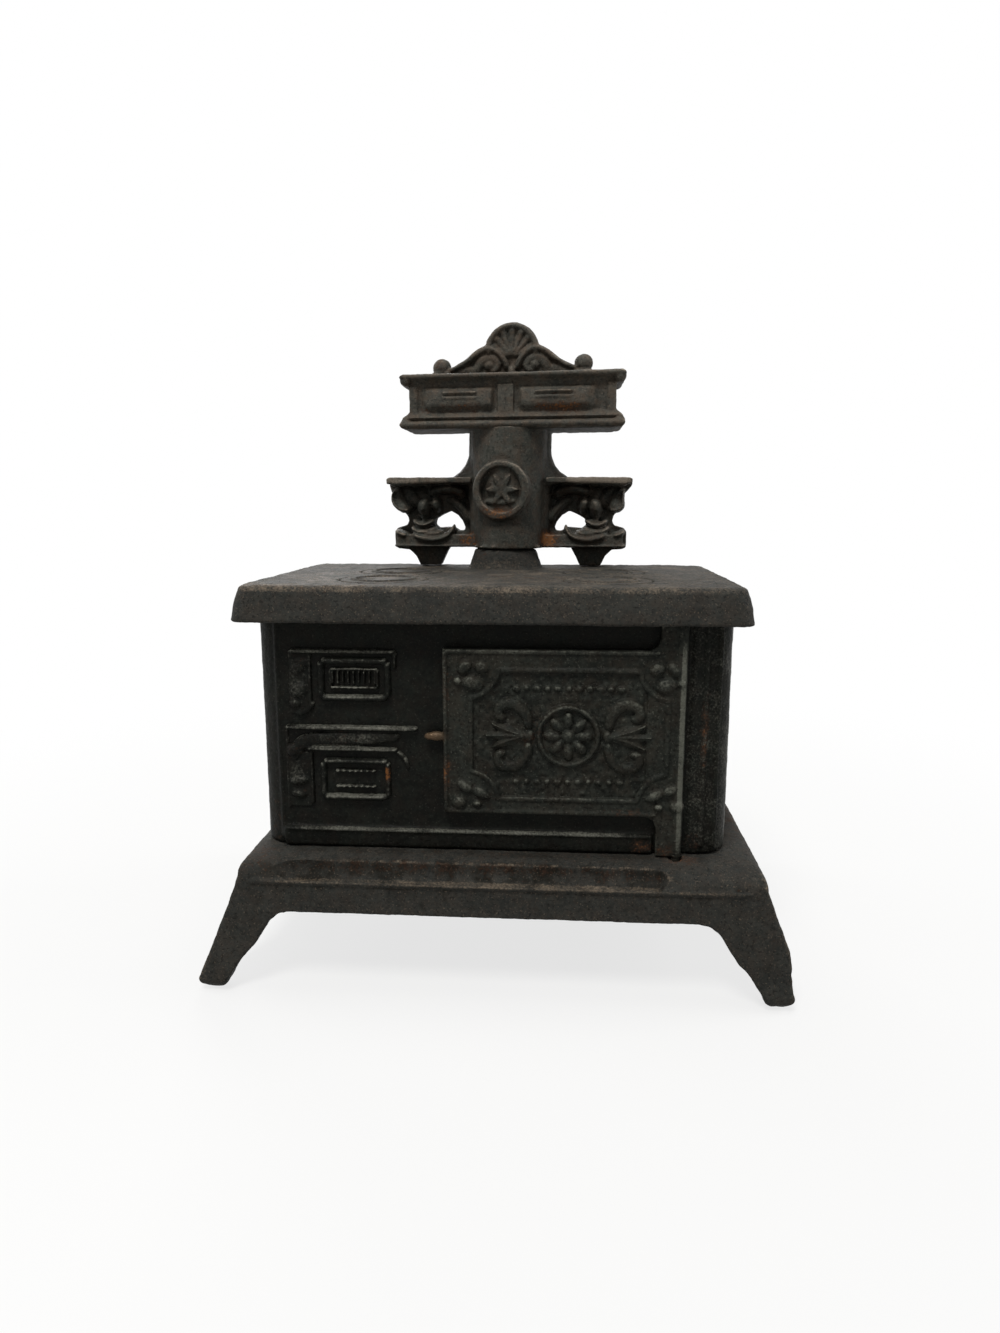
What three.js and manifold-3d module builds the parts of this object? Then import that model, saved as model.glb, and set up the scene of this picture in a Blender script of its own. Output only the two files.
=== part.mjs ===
// Cast iron toy stove: a small cooking range on four flared legs, with an oven door that swings, four loose
// lids and a shelf casting with pipe, brackets, warming closet and crest.
// Millimetres, +Z up, the stove's front faces -Y, the origin is on the ground under its middle.
import * as THREE from 'three';
import { mergeVertices } from 'three/addons/utils/BufferGeometryUtils.js';
import Module from 'manifold-3d';

// Fits and working values
const FIT = 0.25; // between two castings that touch
const RUN = 0.25; // round a pin that turns or a screw's shank
const OVERRUN = 2; // how far a cut runs past the face it opens
const ROOT = 0.4; // how deep a raised detail is rooted in the face that carries it
const WELD = 1e-4;

// Base casting: places across are reaches past the walls of the body
const HEARTH_Z = 25.9;
const HEARTH_THICK = 2.8;
const APRON_HEIGHT = 10.2;
const BASE_FLAT_REACH_X = 0.5;
const BASE_FLAT_REACH_Y = 1.7;
const RIM_REACH_X = 3.8;
const RIM_REACH_Y = 8.5;
const RIM_DROP = 3.9;
const FOOT_R = 2.9;
const FOOT_FLAT_ANGLE = THREE.MathUtils.degToRad(60);
const FOOT_REACH_X = 8.5;
const FOOT_REACH_Y = 8.3;
const SHIN_Z = 12.5;
const SHIN_REACH_X = 7.3;
const SHIN_REACH_Y = 8.8;
const LEG_INNER_REACH = 14.6;
const LEG_INNER_SHARES = [
  [0.38, 0.42], [0.45, 0.49], [0.53, 0.56], [0.64, 0.72], [0.74, 0.87], [0.86, 0.97], [1, 1],
];
const LEG_WALL = 2.6;
const LEG_HOLLOW_Z = 4.6;
const LEG_HOLLOW_GROWTH_X = 7.2;
const LEG_HOLLOW_GROWTH_Y = 3.4;
const LEG_CURVE_STEPS = 5;
const COVE_R = 2.4;
const COVE_HALF_LENGTH = 32;

// Walls of the stove's body
const BODY_HALF_WIDTH = 45.5;
const BODY_HALF_DEPTH = 25.1;
const WALL = 2;
const CORNER_R = 6;
const CORNER_RETURN = 1.4;
const PLINTH_RISE = 3.9; // its top above the hearth
const PLINTH_LEFT = -40.6;
const PLINTH_RIGHT = 30.9;
const PLINTH_PROUD = 0.8;
const BODY_EDGE_STEPS = 6;

// Hob plate
const PLATE_RISE = 51.7; // its top above the hearth
const PLATE_THICK = 3;
const SKIRT_HEIGHT = 6.2;
const SKIRT_REACH_X = 1.8;
const SKIRT_REACH_Y = 5.3;
const SKIRT_WALL_FRONT = 1.8;
const SKIRT_DRAFT_X = 1.3;
const SKIRT_DRAFT_Y = 1.5;
const PLATE_CORNER_R = 2.6;
const PLATE_CORNER_STEPS = 4;
const COLLAR_TOP_R = 7;
const COLLAR_FOOT_R = 8.6;
const COLLAR_HEIGHT = 4.3;

// Lids
const LID_R = 8.6;
const LID_THICK = 1.4;
const LID_SPIGOT_R = 7.1;
const LID_SPIGOT_DEPTH = 1;
const LID_HALF_SPACING_X = 22;
const LID_MIDDLE_Y = -4.85;
const LID_HALF_SPACING_Y = 9.75;
const LID_BEAD_R = 6.4;
const LID_BEAD_WIDTH = 0.8;
const LID_BEAD_PROUD = 0.35;
const LID_SLOT_LENGTH = 3.4;
const LID_SLOT_WIDTH = 1.6;
const LID_SLOT_DEPTH = 0.9;
const LID_SLOT_OFFSET = 3.6;

// Oven door: its heights are above the hearth
const DOOR_LEFT = -8.9;
const DOOR_BOTTOM = 8.1;
const DOOR_TOP = 39.9;
const DOOR_THICK = 1.5;
const DOOR_RELIEF = 0.6;
const DOOR_RIM = 1.1;
const HINGE_X = 35.3;
const PINTLE_R = 1;
const PINTLE_REACH = 1.8;
const HEEL_WIDTH = 3.9;
const HEEL_FILLET = 2.2;
const HEEL_TOP = 45;
const DOOR_LAP = 3.6;
const FIELD_LEFT = -2.5;
const FIELD_RIGHT = 32.3;
const FIELD_BOTTOM = 11.1;
const FIELD_TOP = 36.3;
const FIELD_CORNER = 5;
const FIELD_BAR = 0.8;
const FIELD_STEPS = 4;
const LEAF_LENGTH = 1.8;
const LEAF_WIDTH = 1.1;
const LEAF_SPREAD = 1.15;
const LEAF_STEPS = 4;
const ROSETTE_R = 3.6;
const ROSETTE_PETALS = 8;
const PETAL_STEPS = 3;
const SPRIG_LENGTH = 9;
const SPRIG_WIDTH = 4.6;
const SPRIG_OFFSET = 9.6;
const SPRIG_STEPS = 6;
const PEARL_R = 0.55;
const PEARLS = 11;
const PEARL_SIDES = 6;
const PEARL_PITCH = 1.9;
const PEARL_ROW_OFFSET = 8.6;
const NUB_LENGTH = 3.6;
const NUB_R = 0.95;
const NUB_RISE = 23;
const NUB_SIDES = 10;

// Relief doors on the front panel and the frame on each, with heights above the hearth
const UPPER_PANEL = { left: -38.6, right: -18.3, bottom: 25.5, top: 39.2 };
const UPPER_FRAME = { left: -33.2, right: -19.6, bottom: 29.5, top: 37.1 };
const LOWER_PANEL = { left: -39.8, right: -13.9, bottom: 5.5, top: 24.1 };
const LOWER_STEP = { left: -35, right: -18.2, bottom: 7.7, top: 19.4 };
const LOWER_FRAME = { left: -33.4, right: -20.1, bottom: 10, top: 17.3 };
const PANEL_PROUD = 0.6;
const STEP_PROUD = 0.5;
const FRAME_PROUD = 0.5;
const FRAME_BAR = 0.75;
const GRILLE_MARGIN = 2;
const GRILLE_BARS = 7;
const STRAP_HEIGHT = 1.7;

// Shelf casting
const SHELF_SHIFT = 0.8;
const SHELF_BACK_REACH = 0.4; // how far its back stands behind the back panel
const SHELF_WALL = 1.8;
const PIPE_TO_BACK = 7.2;
const PIPE_FOOT_R = 7.4;
const PIPE_GROWTH = 1.3;
const PIPE_FOOT_FLOOR = 2.4;
const PIPE_STEPS = 14;
const FLANGE_LIP = 1.3;
const CLOSET_RISE = 30.7; // its underside above the hob
const CLOSET_HEIGHT = 11.7;
const CLOSET_SHIFT = 1;
const CLOSET_HALF_WIDTH = 22.4;
const CLOSET_DEPTH = 14.1;
const MOULDING_HEIGHT = 3.2;
const MOULDING_REACH = 2.1;
const MOULDING_STEPS = 3;
const DRAWER_INNER_X = 2.6;
const DRAWER_OUTER_X = 19.3;
const DRAWER_MARGIN = 0.4;
const DRAWER_PROUD = 0.9;
const DRAWER_BEVEL = 0.6;
const DRAWER_STEPS = 2;
const PULL_LENGTH = 7.4;
const PULL_HEIGHT = 1;
const CREST_HALF_WIDTH = 17.6;
const CREST_HEIGHT = 12.2;
const CREST_THICK = 3.4;
const CREST_SHELL_R = 6;
const CREST_SHOULDER_SHARES = [
  [0.36, 0.59], [0.43, 0.51], [0.56, 0.37], [0.66, 0.27], [0.77, 0.18], [1, 0.18], [1, -0.1],
];
const CREST_STEPS = 8;
const FINIAL_R = 2;
const FINIAL_X = 16;
const FINIAL_SIDES = 12;
const FINIAL_RINGS = 8;
const SCROLL_R = 2.9;
const SCROLL_OFFSET = 4.2;
const SCROLL_Z_SHARE = 0.32;
const SCROLL_PROUD = 0.6;
const SCROLL_SIDES = 16;
const BRACKET_REACH = 28.2;
const BRACKET_HEIGHT = 20.1;
const BRACKET_THICK = 4.2;
const BRACKET_OUTLINE_SHARES = [
  [0.27, 1.28], [0.34, 1.2], [0.4, 1.08], [0.48, 1], [1, 1], [1, 0.91], [0.97, 0.8], [0.95, 0.7],
  [0.89, 0.63], [0.85, 0.57], [0.84, 0.51], [0.86, 0.46], [0.94, 0.43], [0.96, 0.39], [0.96, 0.21],
  [0.93, 0.19], [0.84, 0.18], [0.79, 0.11], [0.75, 0], [0.58, 0], [0.53, 0.15], [0.5, 0.22], [0.2, 0.23],
];
const BRACKET_HOLE_SHARES = [
  [0.49, 0.63], [0.43, 0.58], [0.39, 0.51], [0.37, 0.44], [0.38, 0.4], [0.43, 0.4], [0.47, 0.44], [0.6, 0.43],
  [0.63, 0.47], [0.62, 0.54], [0.56, 0.59],
];
const UPPER_SHELF_DEPTH = 10.6;
const UPPER_SHELF_THICK = 1.2;
const UPPER_SHELF_SHARES = [0.3, 0.96];
const LOWER_SHELF_DEPTH = 8;
const LOWER_SHELF_Z_SHARE = 0.22;
const LOWER_SHELF_SHARES = [0.25, 0.92];
const LOWER_SHELF_HEIGHT_SHARE = 0.14;
const MEDAL_R = 6.2;
const MEDAL_BAR = 1.2;
const MEDAL_RISE = 17.6; // its middle above the hob
const MEDAL_PROUD = 1;
const MEDAL_PETALS = 6;
const MEDAL_STEPS = 28;

// Fasteners
const BOLT_R = 1.5;
const BOLT_Y = -3;
const BOLT_HEAD_R = 3;
const BOLT_HEAD_DEPTH = 1.5;
const BOLT_TAIL = 2;
const NUT_SIDE = 5.6;
const NUT_THICK = 2.4;
const SCREW_R = 1.4;
const SCREW_HEAD_R = 2.8;
const SCREW_HEAD_THICK = 1.6;
const SCREW_BITE = 5;
const SCREW_BOSS_R = 3.4;
const SLOT_WIDTH = 0.7;
const SLOT_DEPTH = 0.7;
const ROUND_STEPS = 20;

// Places that follow from the sizes above
const FRONT_Y = -BODY_HALF_DEPTH;
const BASE_ACROSS = {
  flat: BODY_HALF_WIDTH + BASE_FLAT_REACH_X,
  rim: BODY_HALF_WIDTH + RIM_REACH_X,
  shin: BODY_HALF_WIDTH + SHIN_REACH_X,
  foot: BODY_HALF_WIDTH + FOOT_REACH_X,
};
const BASE_ALONG = {
  flat: BODY_HALF_DEPTH + BASE_FLAT_REACH_Y,
  rim: BODY_HALF_DEPTH + RIM_REACH_Y,
  shin: BODY_HALF_DEPTH + SHIN_REACH_Y,
  foot: BODY_HALF_DEPTH + FOOT_REACH_Y,
};
const RIM_Z = HEARTH_Z - RIM_DROP;
const APRON_Z = HEARTH_Z - APRON_HEIGHT;
const HEARTH_UNDERSIDE_Z = HEARTH_Z - HEARTH_THICK;
const WALL_Z = HEARTH_Z + FIT;
const PLATE_TOP_Z = HEARTH_Z + PLATE_RISE;
const CEILING_Z = PLATE_TOP_Z - PLATE_THICK;
const WALL_TOP_Z = CEILING_Z - FIT;
const SKIRT_Z = PLATE_TOP_Z - SKIRT_HEIGHT;
const SKIRT_HALF_WIDTH = BODY_HALF_WIDTH + SKIRT_REACH_X;
const SKIRT_HALF_DEPTH = BODY_HALF_DEPTH + SKIRT_REACH_Y;
const DOOR_BOTTOM_Z = HEARTH_Z + DOOR_BOTTOM;
const DOOR_TOP_Z = HEARTH_Z + DOOR_TOP;
const FIELD_BOTTOM_Z = HEARTH_Z + FIELD_BOTTOM;
const FIELD_TOP_Z = HEARTH_Z + FIELD_TOP;
const DOOR_BACK_Y = FRONT_Y - FIT;
const DOOR_FACE_Y = DOOR_BACK_Y - DOOR_THICK;
const BARREL_R = (DOOR_THICK + DOOR_RELIEF) / 2;
const HINGE_Y = DOOR_BACK_Y - BARREL_R;
const OPENING = {
  left: DOOR_LEFT + DOOR_LAP,
  right: HINGE_X - DOOR_LAP,
  bottom: DOOR_BOTTOM_Z + DOOR_LAP,
  top: DOOR_TOP_Z - DOOR_LAP,
};
const SHELF_BACK_Y = BODY_HALF_DEPTH + SHELF_BACK_REACH;
const PIPE_Y = SHELF_BACK_Y - PIPE_TO_BACK;
const COLLAR_TOP_Z = PLATE_TOP_Z + COLLAR_HEIGHT;
const PIPE_Z = COLLAR_TOP_Z + FIT;
const BRACKET_Z = PLATE_TOP_Z + FIT;
const PIPE_HEAD_R = PIPE_FOOT_R + PIPE_GROWTH;
const CLOSET_Z = PLATE_TOP_Z + CLOSET_RISE;
const CLOSET_TOP_Z = CLOSET_Z + CLOSET_HEIGHT;
const CLOSET_FRONT_Y = SHELF_BACK_Y - CLOSET_DEPTH;
const MEDAL_Z = PLATE_TOP_Z + MEDAL_RISE;

const wasm = await Module();
wasm.setup();

// Solids and how they are joined and cut

// A shape drawn in the XY plane stands up in the XZ plane, or in the YZ plane
const AXES = { x: new THREE.Vector3(1, 0, 0), y: new THREE.Vector3(0, 1, 0), z: new THREE.Vector3(0, 0, 1) };
const STAND_IN_XZ = new THREE.Matrix4().makeBasis(AXES.x, AXES.z, AXES.y.clone().negate());
const STAND_IN_YZ = new THREE.Matrix4().makeBasis(AXES.y, AXES.z, AXES.x);

function solid(geometry) {
  const bare = geometry.clone();
  bare.deleteAttribute('normal');
  bare.deleteAttribute('uv');
  const welded = mergeVertices(bare, WELD);
  const corners = [];
  for (let i = 0; i < welded.index.count; i += 3) {
    const [a, b, c] = [0, 1, 2].map((k) => welded.index.getX(i + k));
    if (a !== b && b !== c && c !== a) corners.push(a, b, c);
  }
  return new wasm.Manifold(new wasm.Mesh({
    numProp: 3,
    vertProperties: new Float32Array(welded.attributes.position.array),
    triVerts: new Uint32Array(corners),
  }));
}

function join(...bodies) {
  return bodies.flat().reduce((sum, body) => sum.add(body));
}

function cut(body, ...tools) {
  return tools.flat().reduce((rest, tool) => rest.subtract(tool), body);
}

function meshOf(name, body, material) {
  const { vertProperties, triVerts } = body.getMesh();
  const geometry = new THREE.BufferGeometry();
  geometry.setAttribute('position', new THREE.BufferAttribute(vertProperties, 3));
  geometry.setIndex(new THREE.BufferAttribute(triVerts, 1));
  geometry.computeVertexNormals();
  const mesh = new THREE.Mesh(geometry, material);
  mesh.name = name;
  return mesh;
}

function block(left, right, front, back, bottom, top) {
  const geometry = new THREE.BoxGeometry(right - left, back - front, top - bottom);
  geometry.translate((left + right) / 2, (front + back) / 2, (bottom + top) / 2);
  return solid(geometry);
}

// A block whose top and bottom have half sizes of their own
function frustum(bottom, top, lowZ, highZ) {
  const geometry = new THREE.BoxGeometry(1, 1, 1);
  const spot = geometry.attributes.position;
  for (let i = 0; i < spot.count; i += 1) {
    const end = spot.getZ(i) > 0 ? top : bottom;
    spot.setXYZ(i, Math.sign(spot.getX(i)) * end.x, Math.sign(spot.getY(i)) * end.y,
      spot.getZ(i) > 0 ? highZ : lowZ);
  }
  return solid(geometry);
}

function bar(shape, depth, curveSegments) {
  return new THREE.ExtrudeGeometry(shape, { depth, bevelEnabled: false, curveSegments });
}

// An outline in the XZ plane carried along Y
function prismY(shape, front, back, steps = ROUND_STEPS) {
  const geometry = bar(shape, back - front, steps);
  geometry.applyMatrix4(STAND_IN_XZ);
  geometry.translate(0, back, 0);
  return solid(geometry);
}

// An outline in the YZ plane carried along X
function prismX(shape, left, right, steps = ROUND_STEPS) {
  const geometry = bar(shape, right - left, steps);
  geometry.applyMatrix4(STAND_IN_YZ);
  geometry.translate(left, 0, 0);
  return solid(geometry);
}

// An outline in the XY plane carried along Z
function prismZ(shape, bottom, top, steps = ROUND_STEPS) {
  const geometry = bar(shape, top - bottom, steps);
  geometry.translate(0, 0, bottom);
  return solid(geometry);
}

// An upright round bar or cone
function rod(x, y, bottom, top, lowR, highR = lowR, steps = ROUND_STEPS) {
  const geometry = new THREE.CylinderGeometry(highR, lowR, top - bottom, steps);
  geometry.applyMatrix4(STAND_IN_XZ);
  geometry.translate(x, y, (bottom + top) / 2);
  return solid(geometry);
}

// A round boss that stands out of a face towards the front
function boss(x, z, back, front, rootR, faceR, steps = ROUND_STEPS) {
  const geometry = new THREE.CylinderGeometry(rootR, faceR, back - front, steps);
  geometry.translate(x, (back + front) / 2, z);
  return solid(geometry);
}

function ring(x, z, back, front, outerR, bar, steps) {
  const inner = boss(x, z, back + OVERRUN, front - OVERRUN, outerR - bar, outerR - bar, steps);
  return cut(boss(x, z, back, front, outerR, outerR, steps), inner);
}

function outline(points) {
  return new THREE.Shape(points.map(([x, y]) => new THREE.Vector2(x, y)));
}

function rectangle(left, right, bottom, top) {
  return outline([[left, bottom], [right, bottom], [right, top], [left, top]]);
}

function roundedRectangle(halfX, halfY, r) {
  const shape = new THREE.Shape();
  shape.moveTo(-halfX + r, -halfY);
  shape.lineTo(halfX - r, -halfY);
  shape.absarc(halfX - r, -halfY + r, r, -Math.PI / 2, 0);
  shape.absarc(halfX - r, halfY - r, r, 0, Math.PI / 2);
  shape.absarc(-halfX + r, halfY - r, r, Math.PI / 2, Math.PI);
  shape.absarc(-halfX + r, -halfY + r, r, Math.PI, 3 * Math.PI / 2);
  return shape;
}

// A half outline that starts and ends on the middle line, made whole
function mirrored(half, steps) {
  const right = half.getPoints(steps);
  const left = right.slice(1, -1).reverse().map((point) => new THREE.Vector2(-point.x, point.y));
  return new THREE.Shape([...right, ...left]);
}

// A leaf between two points of one arc and its mirror
function leafOutline(x, z, length, width, angle) {
  const shape = new THREE.Shape();
  const tip = new THREE.Vector2(length / 2, 0);
  const side = new THREE.Vector2(0, width);
  const place = (point) => {
    const turned = point.clone().rotateAround(new THREE.Vector2(), angle);
    return [turned.x + x, turned.y + z];
  };
  shape.moveTo(...place(tip.clone().negate()));
  shape.quadraticCurveTo(...place(side), ...place(tip));
  shape.quadraticCurveTo(...place(side.clone().negate()), ...place(tip.clone().negate()));
  return shape;
}

// A rectangle of bars that stands out of a face, with heights above the hearth
function frameBars({ left, right, bottom, top }, wide, faceY, proud) {
  const [low, high] = [HEARTH_Z + bottom, HEARTH_Z + top];
  const [front, back] = [faceY - proud, faceY + ROOT];
  const outer = block(left, right, front, back, low, high);
  const inner = block(left + wide, right - wide, front - OVERRUN, back + OVERRUN, low + wide, high - wide);
  return cut(outer, inner);
}

// Base casting: hearth plate, aprons and legs

// Half of the base's outline seen square on, from the middle of its top to the middle of its underside
function baseHalf({ flat, rim, shin, foot }) {
  const path = new THREE.Path();
  const footZ = FOOT_R * Math.sin(FOOT_FLAT_ANGLE);
  path.moveTo(0, HEARTH_Z);
  path.lineTo(flat, HEARTH_Z);
  path.quadraticCurveTo(rim, HEARTH_Z, rim, RIM_Z);
  path.quadraticCurveTo(shin, SHIN_Z, foot + FOOT_R, footZ);
  path.absarc(foot, footZ, FOOT_R, 0, -FOOT_FLAT_ANGLE, true);
  path.absarc(foot, footZ, FOOT_R, -Math.PI + FOOT_FLAT_ANGLE, -Math.PI, true);
  for (const [across, up] of LEG_INNER_SHARES) {
    path.lineTo(foot - LEG_INNER_REACH * across, APRON_Z * up);
  }
  path.lineTo(0, APRON_Z);
  return path;
}

function baseCasting() {
  const front = mirrored(baseHalf(BASE_ACROSS), LEG_CURVE_STEPS);
  const side = mirrored(baseHalf(BASE_ALONG), LEG_CURVE_STEPS);
  const halfX = BASE_ACROSS.foot + FOOT_R + OVERRUN;
  const halfY = BASE_ALONG.foot + FOOT_R + OVERRUN;
  const whole = prismY(front, -halfY, halfY).intersect(prismX(side, -halfX, halfX));
  const hollowTop = { x: BASE_ACROSS.rim - LEG_WALL, y: BASE_ALONG.rim - LEG_WALL - COVE_R / 2 };
  const hollowFoot = { x: hollowTop.x + LEG_HOLLOW_GROWTH_X, y: hollowTop.y + LEG_HOLLOW_GROWTH_Y };
  const hollow = frustum(hollowFoot, hollowTop, LEG_HOLLOW_Z, HEARTH_UNDERSIDE_Z);
  const coveShape = new THREE.Shape();
  coveShape.absarc(-BASE_ALONG.rim + FIT, RIM_Z + COVE_R, COVE_R, 0, 2 * Math.PI);
  const cove = prismX(coveShape, -COVE_HALF_LENGTH, COVE_HALF_LENGTH);
  const boltHole = rod(0, BOLT_Y, HEARTH_UNDERSIDE_Z - OVERRUN, HEARTH_Z + OVERRUN, BOLT_R + RUN);
  const pintleHole = rod(HINGE_X, HINGE_Y, HEARTH_UNDERSIDE_Z - OVERRUN, HEARTH_Z + OVERRUN, PINTLE_R + RUN);
  return cut(whole, hollow, cove, boltHole, pintleHole);
}

// Walls

function frontShell() {
  const bend = BODY_HALF_WIDTH - CORNER_R;
  const bendY = FRONT_Y + CORNER_R;
  const endY = bendY + CORNER_RETURN;
  const shape = new THREE.Shape();
  shape.moveTo(-BODY_HALF_WIDTH, endY);
  shape.absarc(-bend, bendY, CORNER_R, Math.PI, 3 * Math.PI / 2);
  shape.absarc(bend, bendY, CORNER_R, -Math.PI / 2, 0);
  shape.lineTo(BODY_HALF_WIDTH, endY);
  shape.lineTo(BODY_HALF_WIDTH - WALL, endY);
  shape.absarc(bend, bendY, CORNER_R - WALL, 0, -Math.PI / 2, true);
  shape.absarc(-bend, bendY, CORNER_R - WALL, 3 * Math.PI / 2, Math.PI, true);
  shape.lineTo(-BODY_HALF_WIDTH + WALL, endY);
  return prismZ(shape, WALL_Z, WALL_TOP_Z, BODY_EDGE_STEPS);
}

// A rectangle that stands out of a face, with heights above the hearth
function raisedPanel({ left, right, bottom, top }, faceY, proud) {
  return block(left, right, faceY - proud, faceY + ROOT, HEARTH_Z + bottom, HEARTH_Z + top);
}

// The slotted field inside a relief frame: upright bars with a margin all round
function grille(frame, faceY, proud) {
  const field = {
    left: frame.left + GRILLE_MARGIN,
    right: frame.right - GRILLE_MARGIN,
    bottom: frame.bottom + GRILLE_MARGIN,
    top: frame.top - GRILLE_MARGIN,
  };
  const pitch = (field.right - field.left) / (2 * GRILLE_BARS - 1);
  const bars = [];
  for (let i = 0; i < GRILLE_BARS; i += 1) {
    const left = field.left + 2 * i * pitch;
    bars.push(raisedPanel({ ...field, left, right: left + pitch }, faceY, proud));
  }
  return bars;
}

// A hinge strap from the panel's left edge to its frame
function strap(panel, middle, faceY) {
  const right = LOWER_FRAME.left - FRAME_BAR;
  const [bottom, top] = [middle - STRAP_HEIGHT / 2, middle + STRAP_HEIGHT / 2];
  return raisedPanel({ left: panel.left, right, bottom, top }, faceY, FRAME_PROUD);
}

function upperReliefDoor() {
  const faceY = FRONT_Y - PANEL_PROUD;
  const middle = (UPPER_FRAME.bottom + UPPER_FRAME.top) / 2;
  return [
    raisedPanel(UPPER_PANEL, FRONT_Y, PANEL_PROUD),
    frameBars(UPPER_FRAME, FRAME_BAR, faceY, FRAME_PROUD),
    ...grille(UPPER_FRAME, faceY, FRAME_PROUD / 2),
    strap(UPPER_PANEL, middle, faceY),
  ];
}

function lowerReliefDoor() {
  const faceY = FRONT_Y - PANEL_PROUD;
  const stepY = faceY - STEP_PROUD;
  return [
    raisedPanel(LOWER_PANEL, FRONT_Y, PANEL_PROUD),
    raisedPanel(LOWER_STEP, faceY, STEP_PROUD),
    frameBars(LOWER_FRAME, FRAME_BAR, stepY, FRAME_PROUD),
    ...grille(LOWER_FRAME, stepY, FRAME_PROUD / 2),
    strap(LOWER_PANEL, LOWER_FRAME.top, faceY),
    strap(LOWER_PANEL, LOWER_FRAME.bottom, faceY),
  ];
}

function frontPanel() {
  const ledge = { left: PLINTH_LEFT, right: PLINTH_RIGHT, bottom: FIT, top: PLINTH_RISE };
  const plinth = raisedPanel(ledge, FRONT_Y, PLINTH_PROUD);
  const [outside, inside] = [FRONT_Y - OVERRUN, FRONT_Y + WALL + OVERRUN];
  const mouth = block(OPENING.left, OPENING.right, outside, inside, OPENING.bottom, OPENING.top);
  return join(cut(frontShell(), mouth), plinth, upperReliefDoor(), lowerReliefDoor());
}

function sidePanel(hand) {
  const front = FRONT_Y + CORNER_R + CORNER_RETURN + FIT;
  const [near, far] = [hand * (BODY_HALF_WIDTH - WALL), hand * BODY_HALF_WIDTH].sort((a, b) => a - b);
  return block(near, far, front, BODY_HALF_DEPTH, WALL_Z, WALL_TOP_Z);
}

function backPanel() {
  const half = BODY_HALF_WIDTH - WALL - FIT;
  return block(-half, half, BODY_HALF_DEPTH - WALL, BODY_HALF_DEPTH, WALL_Z, WALL_TOP_Z);
}

// Hob plate and lids

function lidSpots() {
  const [frontY, backY] = [LID_MIDDLE_Y - LID_HALF_SPACING_Y, LID_MIDDLE_Y + LID_HALF_SPACING_Y];
  return [
    ['lid_front_left', -LID_HALF_SPACING_X, frontY],
    ['lid_front_right', LID_HALF_SPACING_X, frontY],
    ['lid_back_left', -LID_HALF_SPACING_X, backY],
    ['lid_back_right', LID_HALF_SPACING_X, backY],
  ];
}

function plateBody() {
  const shape = roundedRectangle(SKIRT_HALF_WIDTH, SKIRT_HALF_DEPTH, PLATE_CORNER_R);
  const outer = bar(shape, SKIRT_HEIGHT, PLATE_CORNER_STEPS);
  const spot = outer.attributes.position;
  for (let i = 0; i < spot.count; i += 1) {
    const rise = spot.getZ(i) / SKIRT_HEIGHT;
    spot.setX(i, spot.getX(i) * (1 - rise * SKIRT_DRAFT_X / SKIRT_HALF_WIDTH));
    spot.setY(i, spot.getY(i) * (1 - rise * SKIRT_DRAFT_Y / SKIRT_HALF_DEPTH));
  }
  outer.translate(0, 0, SKIRT_Z);
  const halfX = BODY_HALF_WIDTH + FIT;
  const halfY = SKIRT_HALF_DEPTH - SKIRT_WALL_FRONT;
  return cut(solid(outer), block(-halfX, halfX, -halfY, halfY, SKIRT_Z - OVERRUN, CEILING_Z));
}

function topPlate() {
  const rootZ = PLATE_TOP_Z - ROOT;
  const collar = rod(0, PIPE_Y, rootZ, COLLAR_TOP_Z, COLLAR_FOOT_R, COLLAR_TOP_R, 2 * PIPE_STEPS);
  const ledgeZ = PLATE_TOP_Z - LID_THICK - FIT;
  const lidHoles = lidSpots().flatMap(([, x, y]) => [
    rod(x, y, ledgeZ, PLATE_TOP_Z + OVERRUN, LID_R + FIT, LID_R + FIT, 2 * PIPE_STEPS),
    rod(x, y, CEILING_Z - OVERRUN, PLATE_TOP_Z, LID_SPIGOT_R + FIT, LID_SPIGOT_R + FIT, 2 * PIPE_STEPS),
  ]);
  const sinkTop = PLATE_TOP_Z + FIT;
  return cut(
    join(plateBody(), collar),
    lidHoles,
    rod(0, BOLT_Y, CEILING_Z - OVERRUN, PLATE_TOP_Z + OVERRUN, BOLT_R + RUN),
    rod(0, BOLT_Y, PLATE_TOP_Z - BOLT_HEAD_DEPTH - FIT, sinkTop, BOLT_R + RUN, BOLT_HEAD_R + 2 * RUN),
    rod(SHELF_SHIFT, PIPE_Y, CEILING_Z - OVERRUN, COLLAR_TOP_Z + OVERRUN, SCREW_R + RUN),
    rod(HINGE_X, HINGE_Y, CEILING_Z - OVERRUN, CEILING_Z + PINTLE_REACH, PINTLE_R + RUN),
  );
}

function lid(x, y) {
  const bottom = PLATE_TOP_Z - LID_THICK;
  const round = (low, high, r) => rod(x, y, low, high, r, r, 2 * PIPE_STEPS);
  const bead = cut(
    round(PLATE_TOP_Z - ROOT, PLATE_TOP_Z + LID_BEAD_PROUD, LID_BEAD_R),
    round(PLATE_TOP_Z - OVERRUN, PLATE_TOP_Z + OVERRUN, LID_BEAD_R - LID_BEAD_WIDTH),
  );
  const whole = join(
    round(bottom, PLATE_TOP_Z, LID_R),
    round(bottom - LID_SPIGOT_DEPTH, bottom + ROOT, LID_SPIGOT_R),
    bead,
  );
  const slotX = x + Math.sign(x) * LID_SLOT_OFFSET;
  const [left, right] = [slotX - LID_SLOT_LENGTH / 2, slotX + LID_SLOT_LENGTH / 2];
  const [front, back] = [y - LID_SLOT_WIDTH / 2, y + LID_SLOT_WIDTH / 2];
  return cut(whole, block(left, right, front, back, PLATE_TOP_Z - LID_SLOT_DEPTH, PLATE_TOP_Z + OVERRUN));
}

// Oven door

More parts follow.
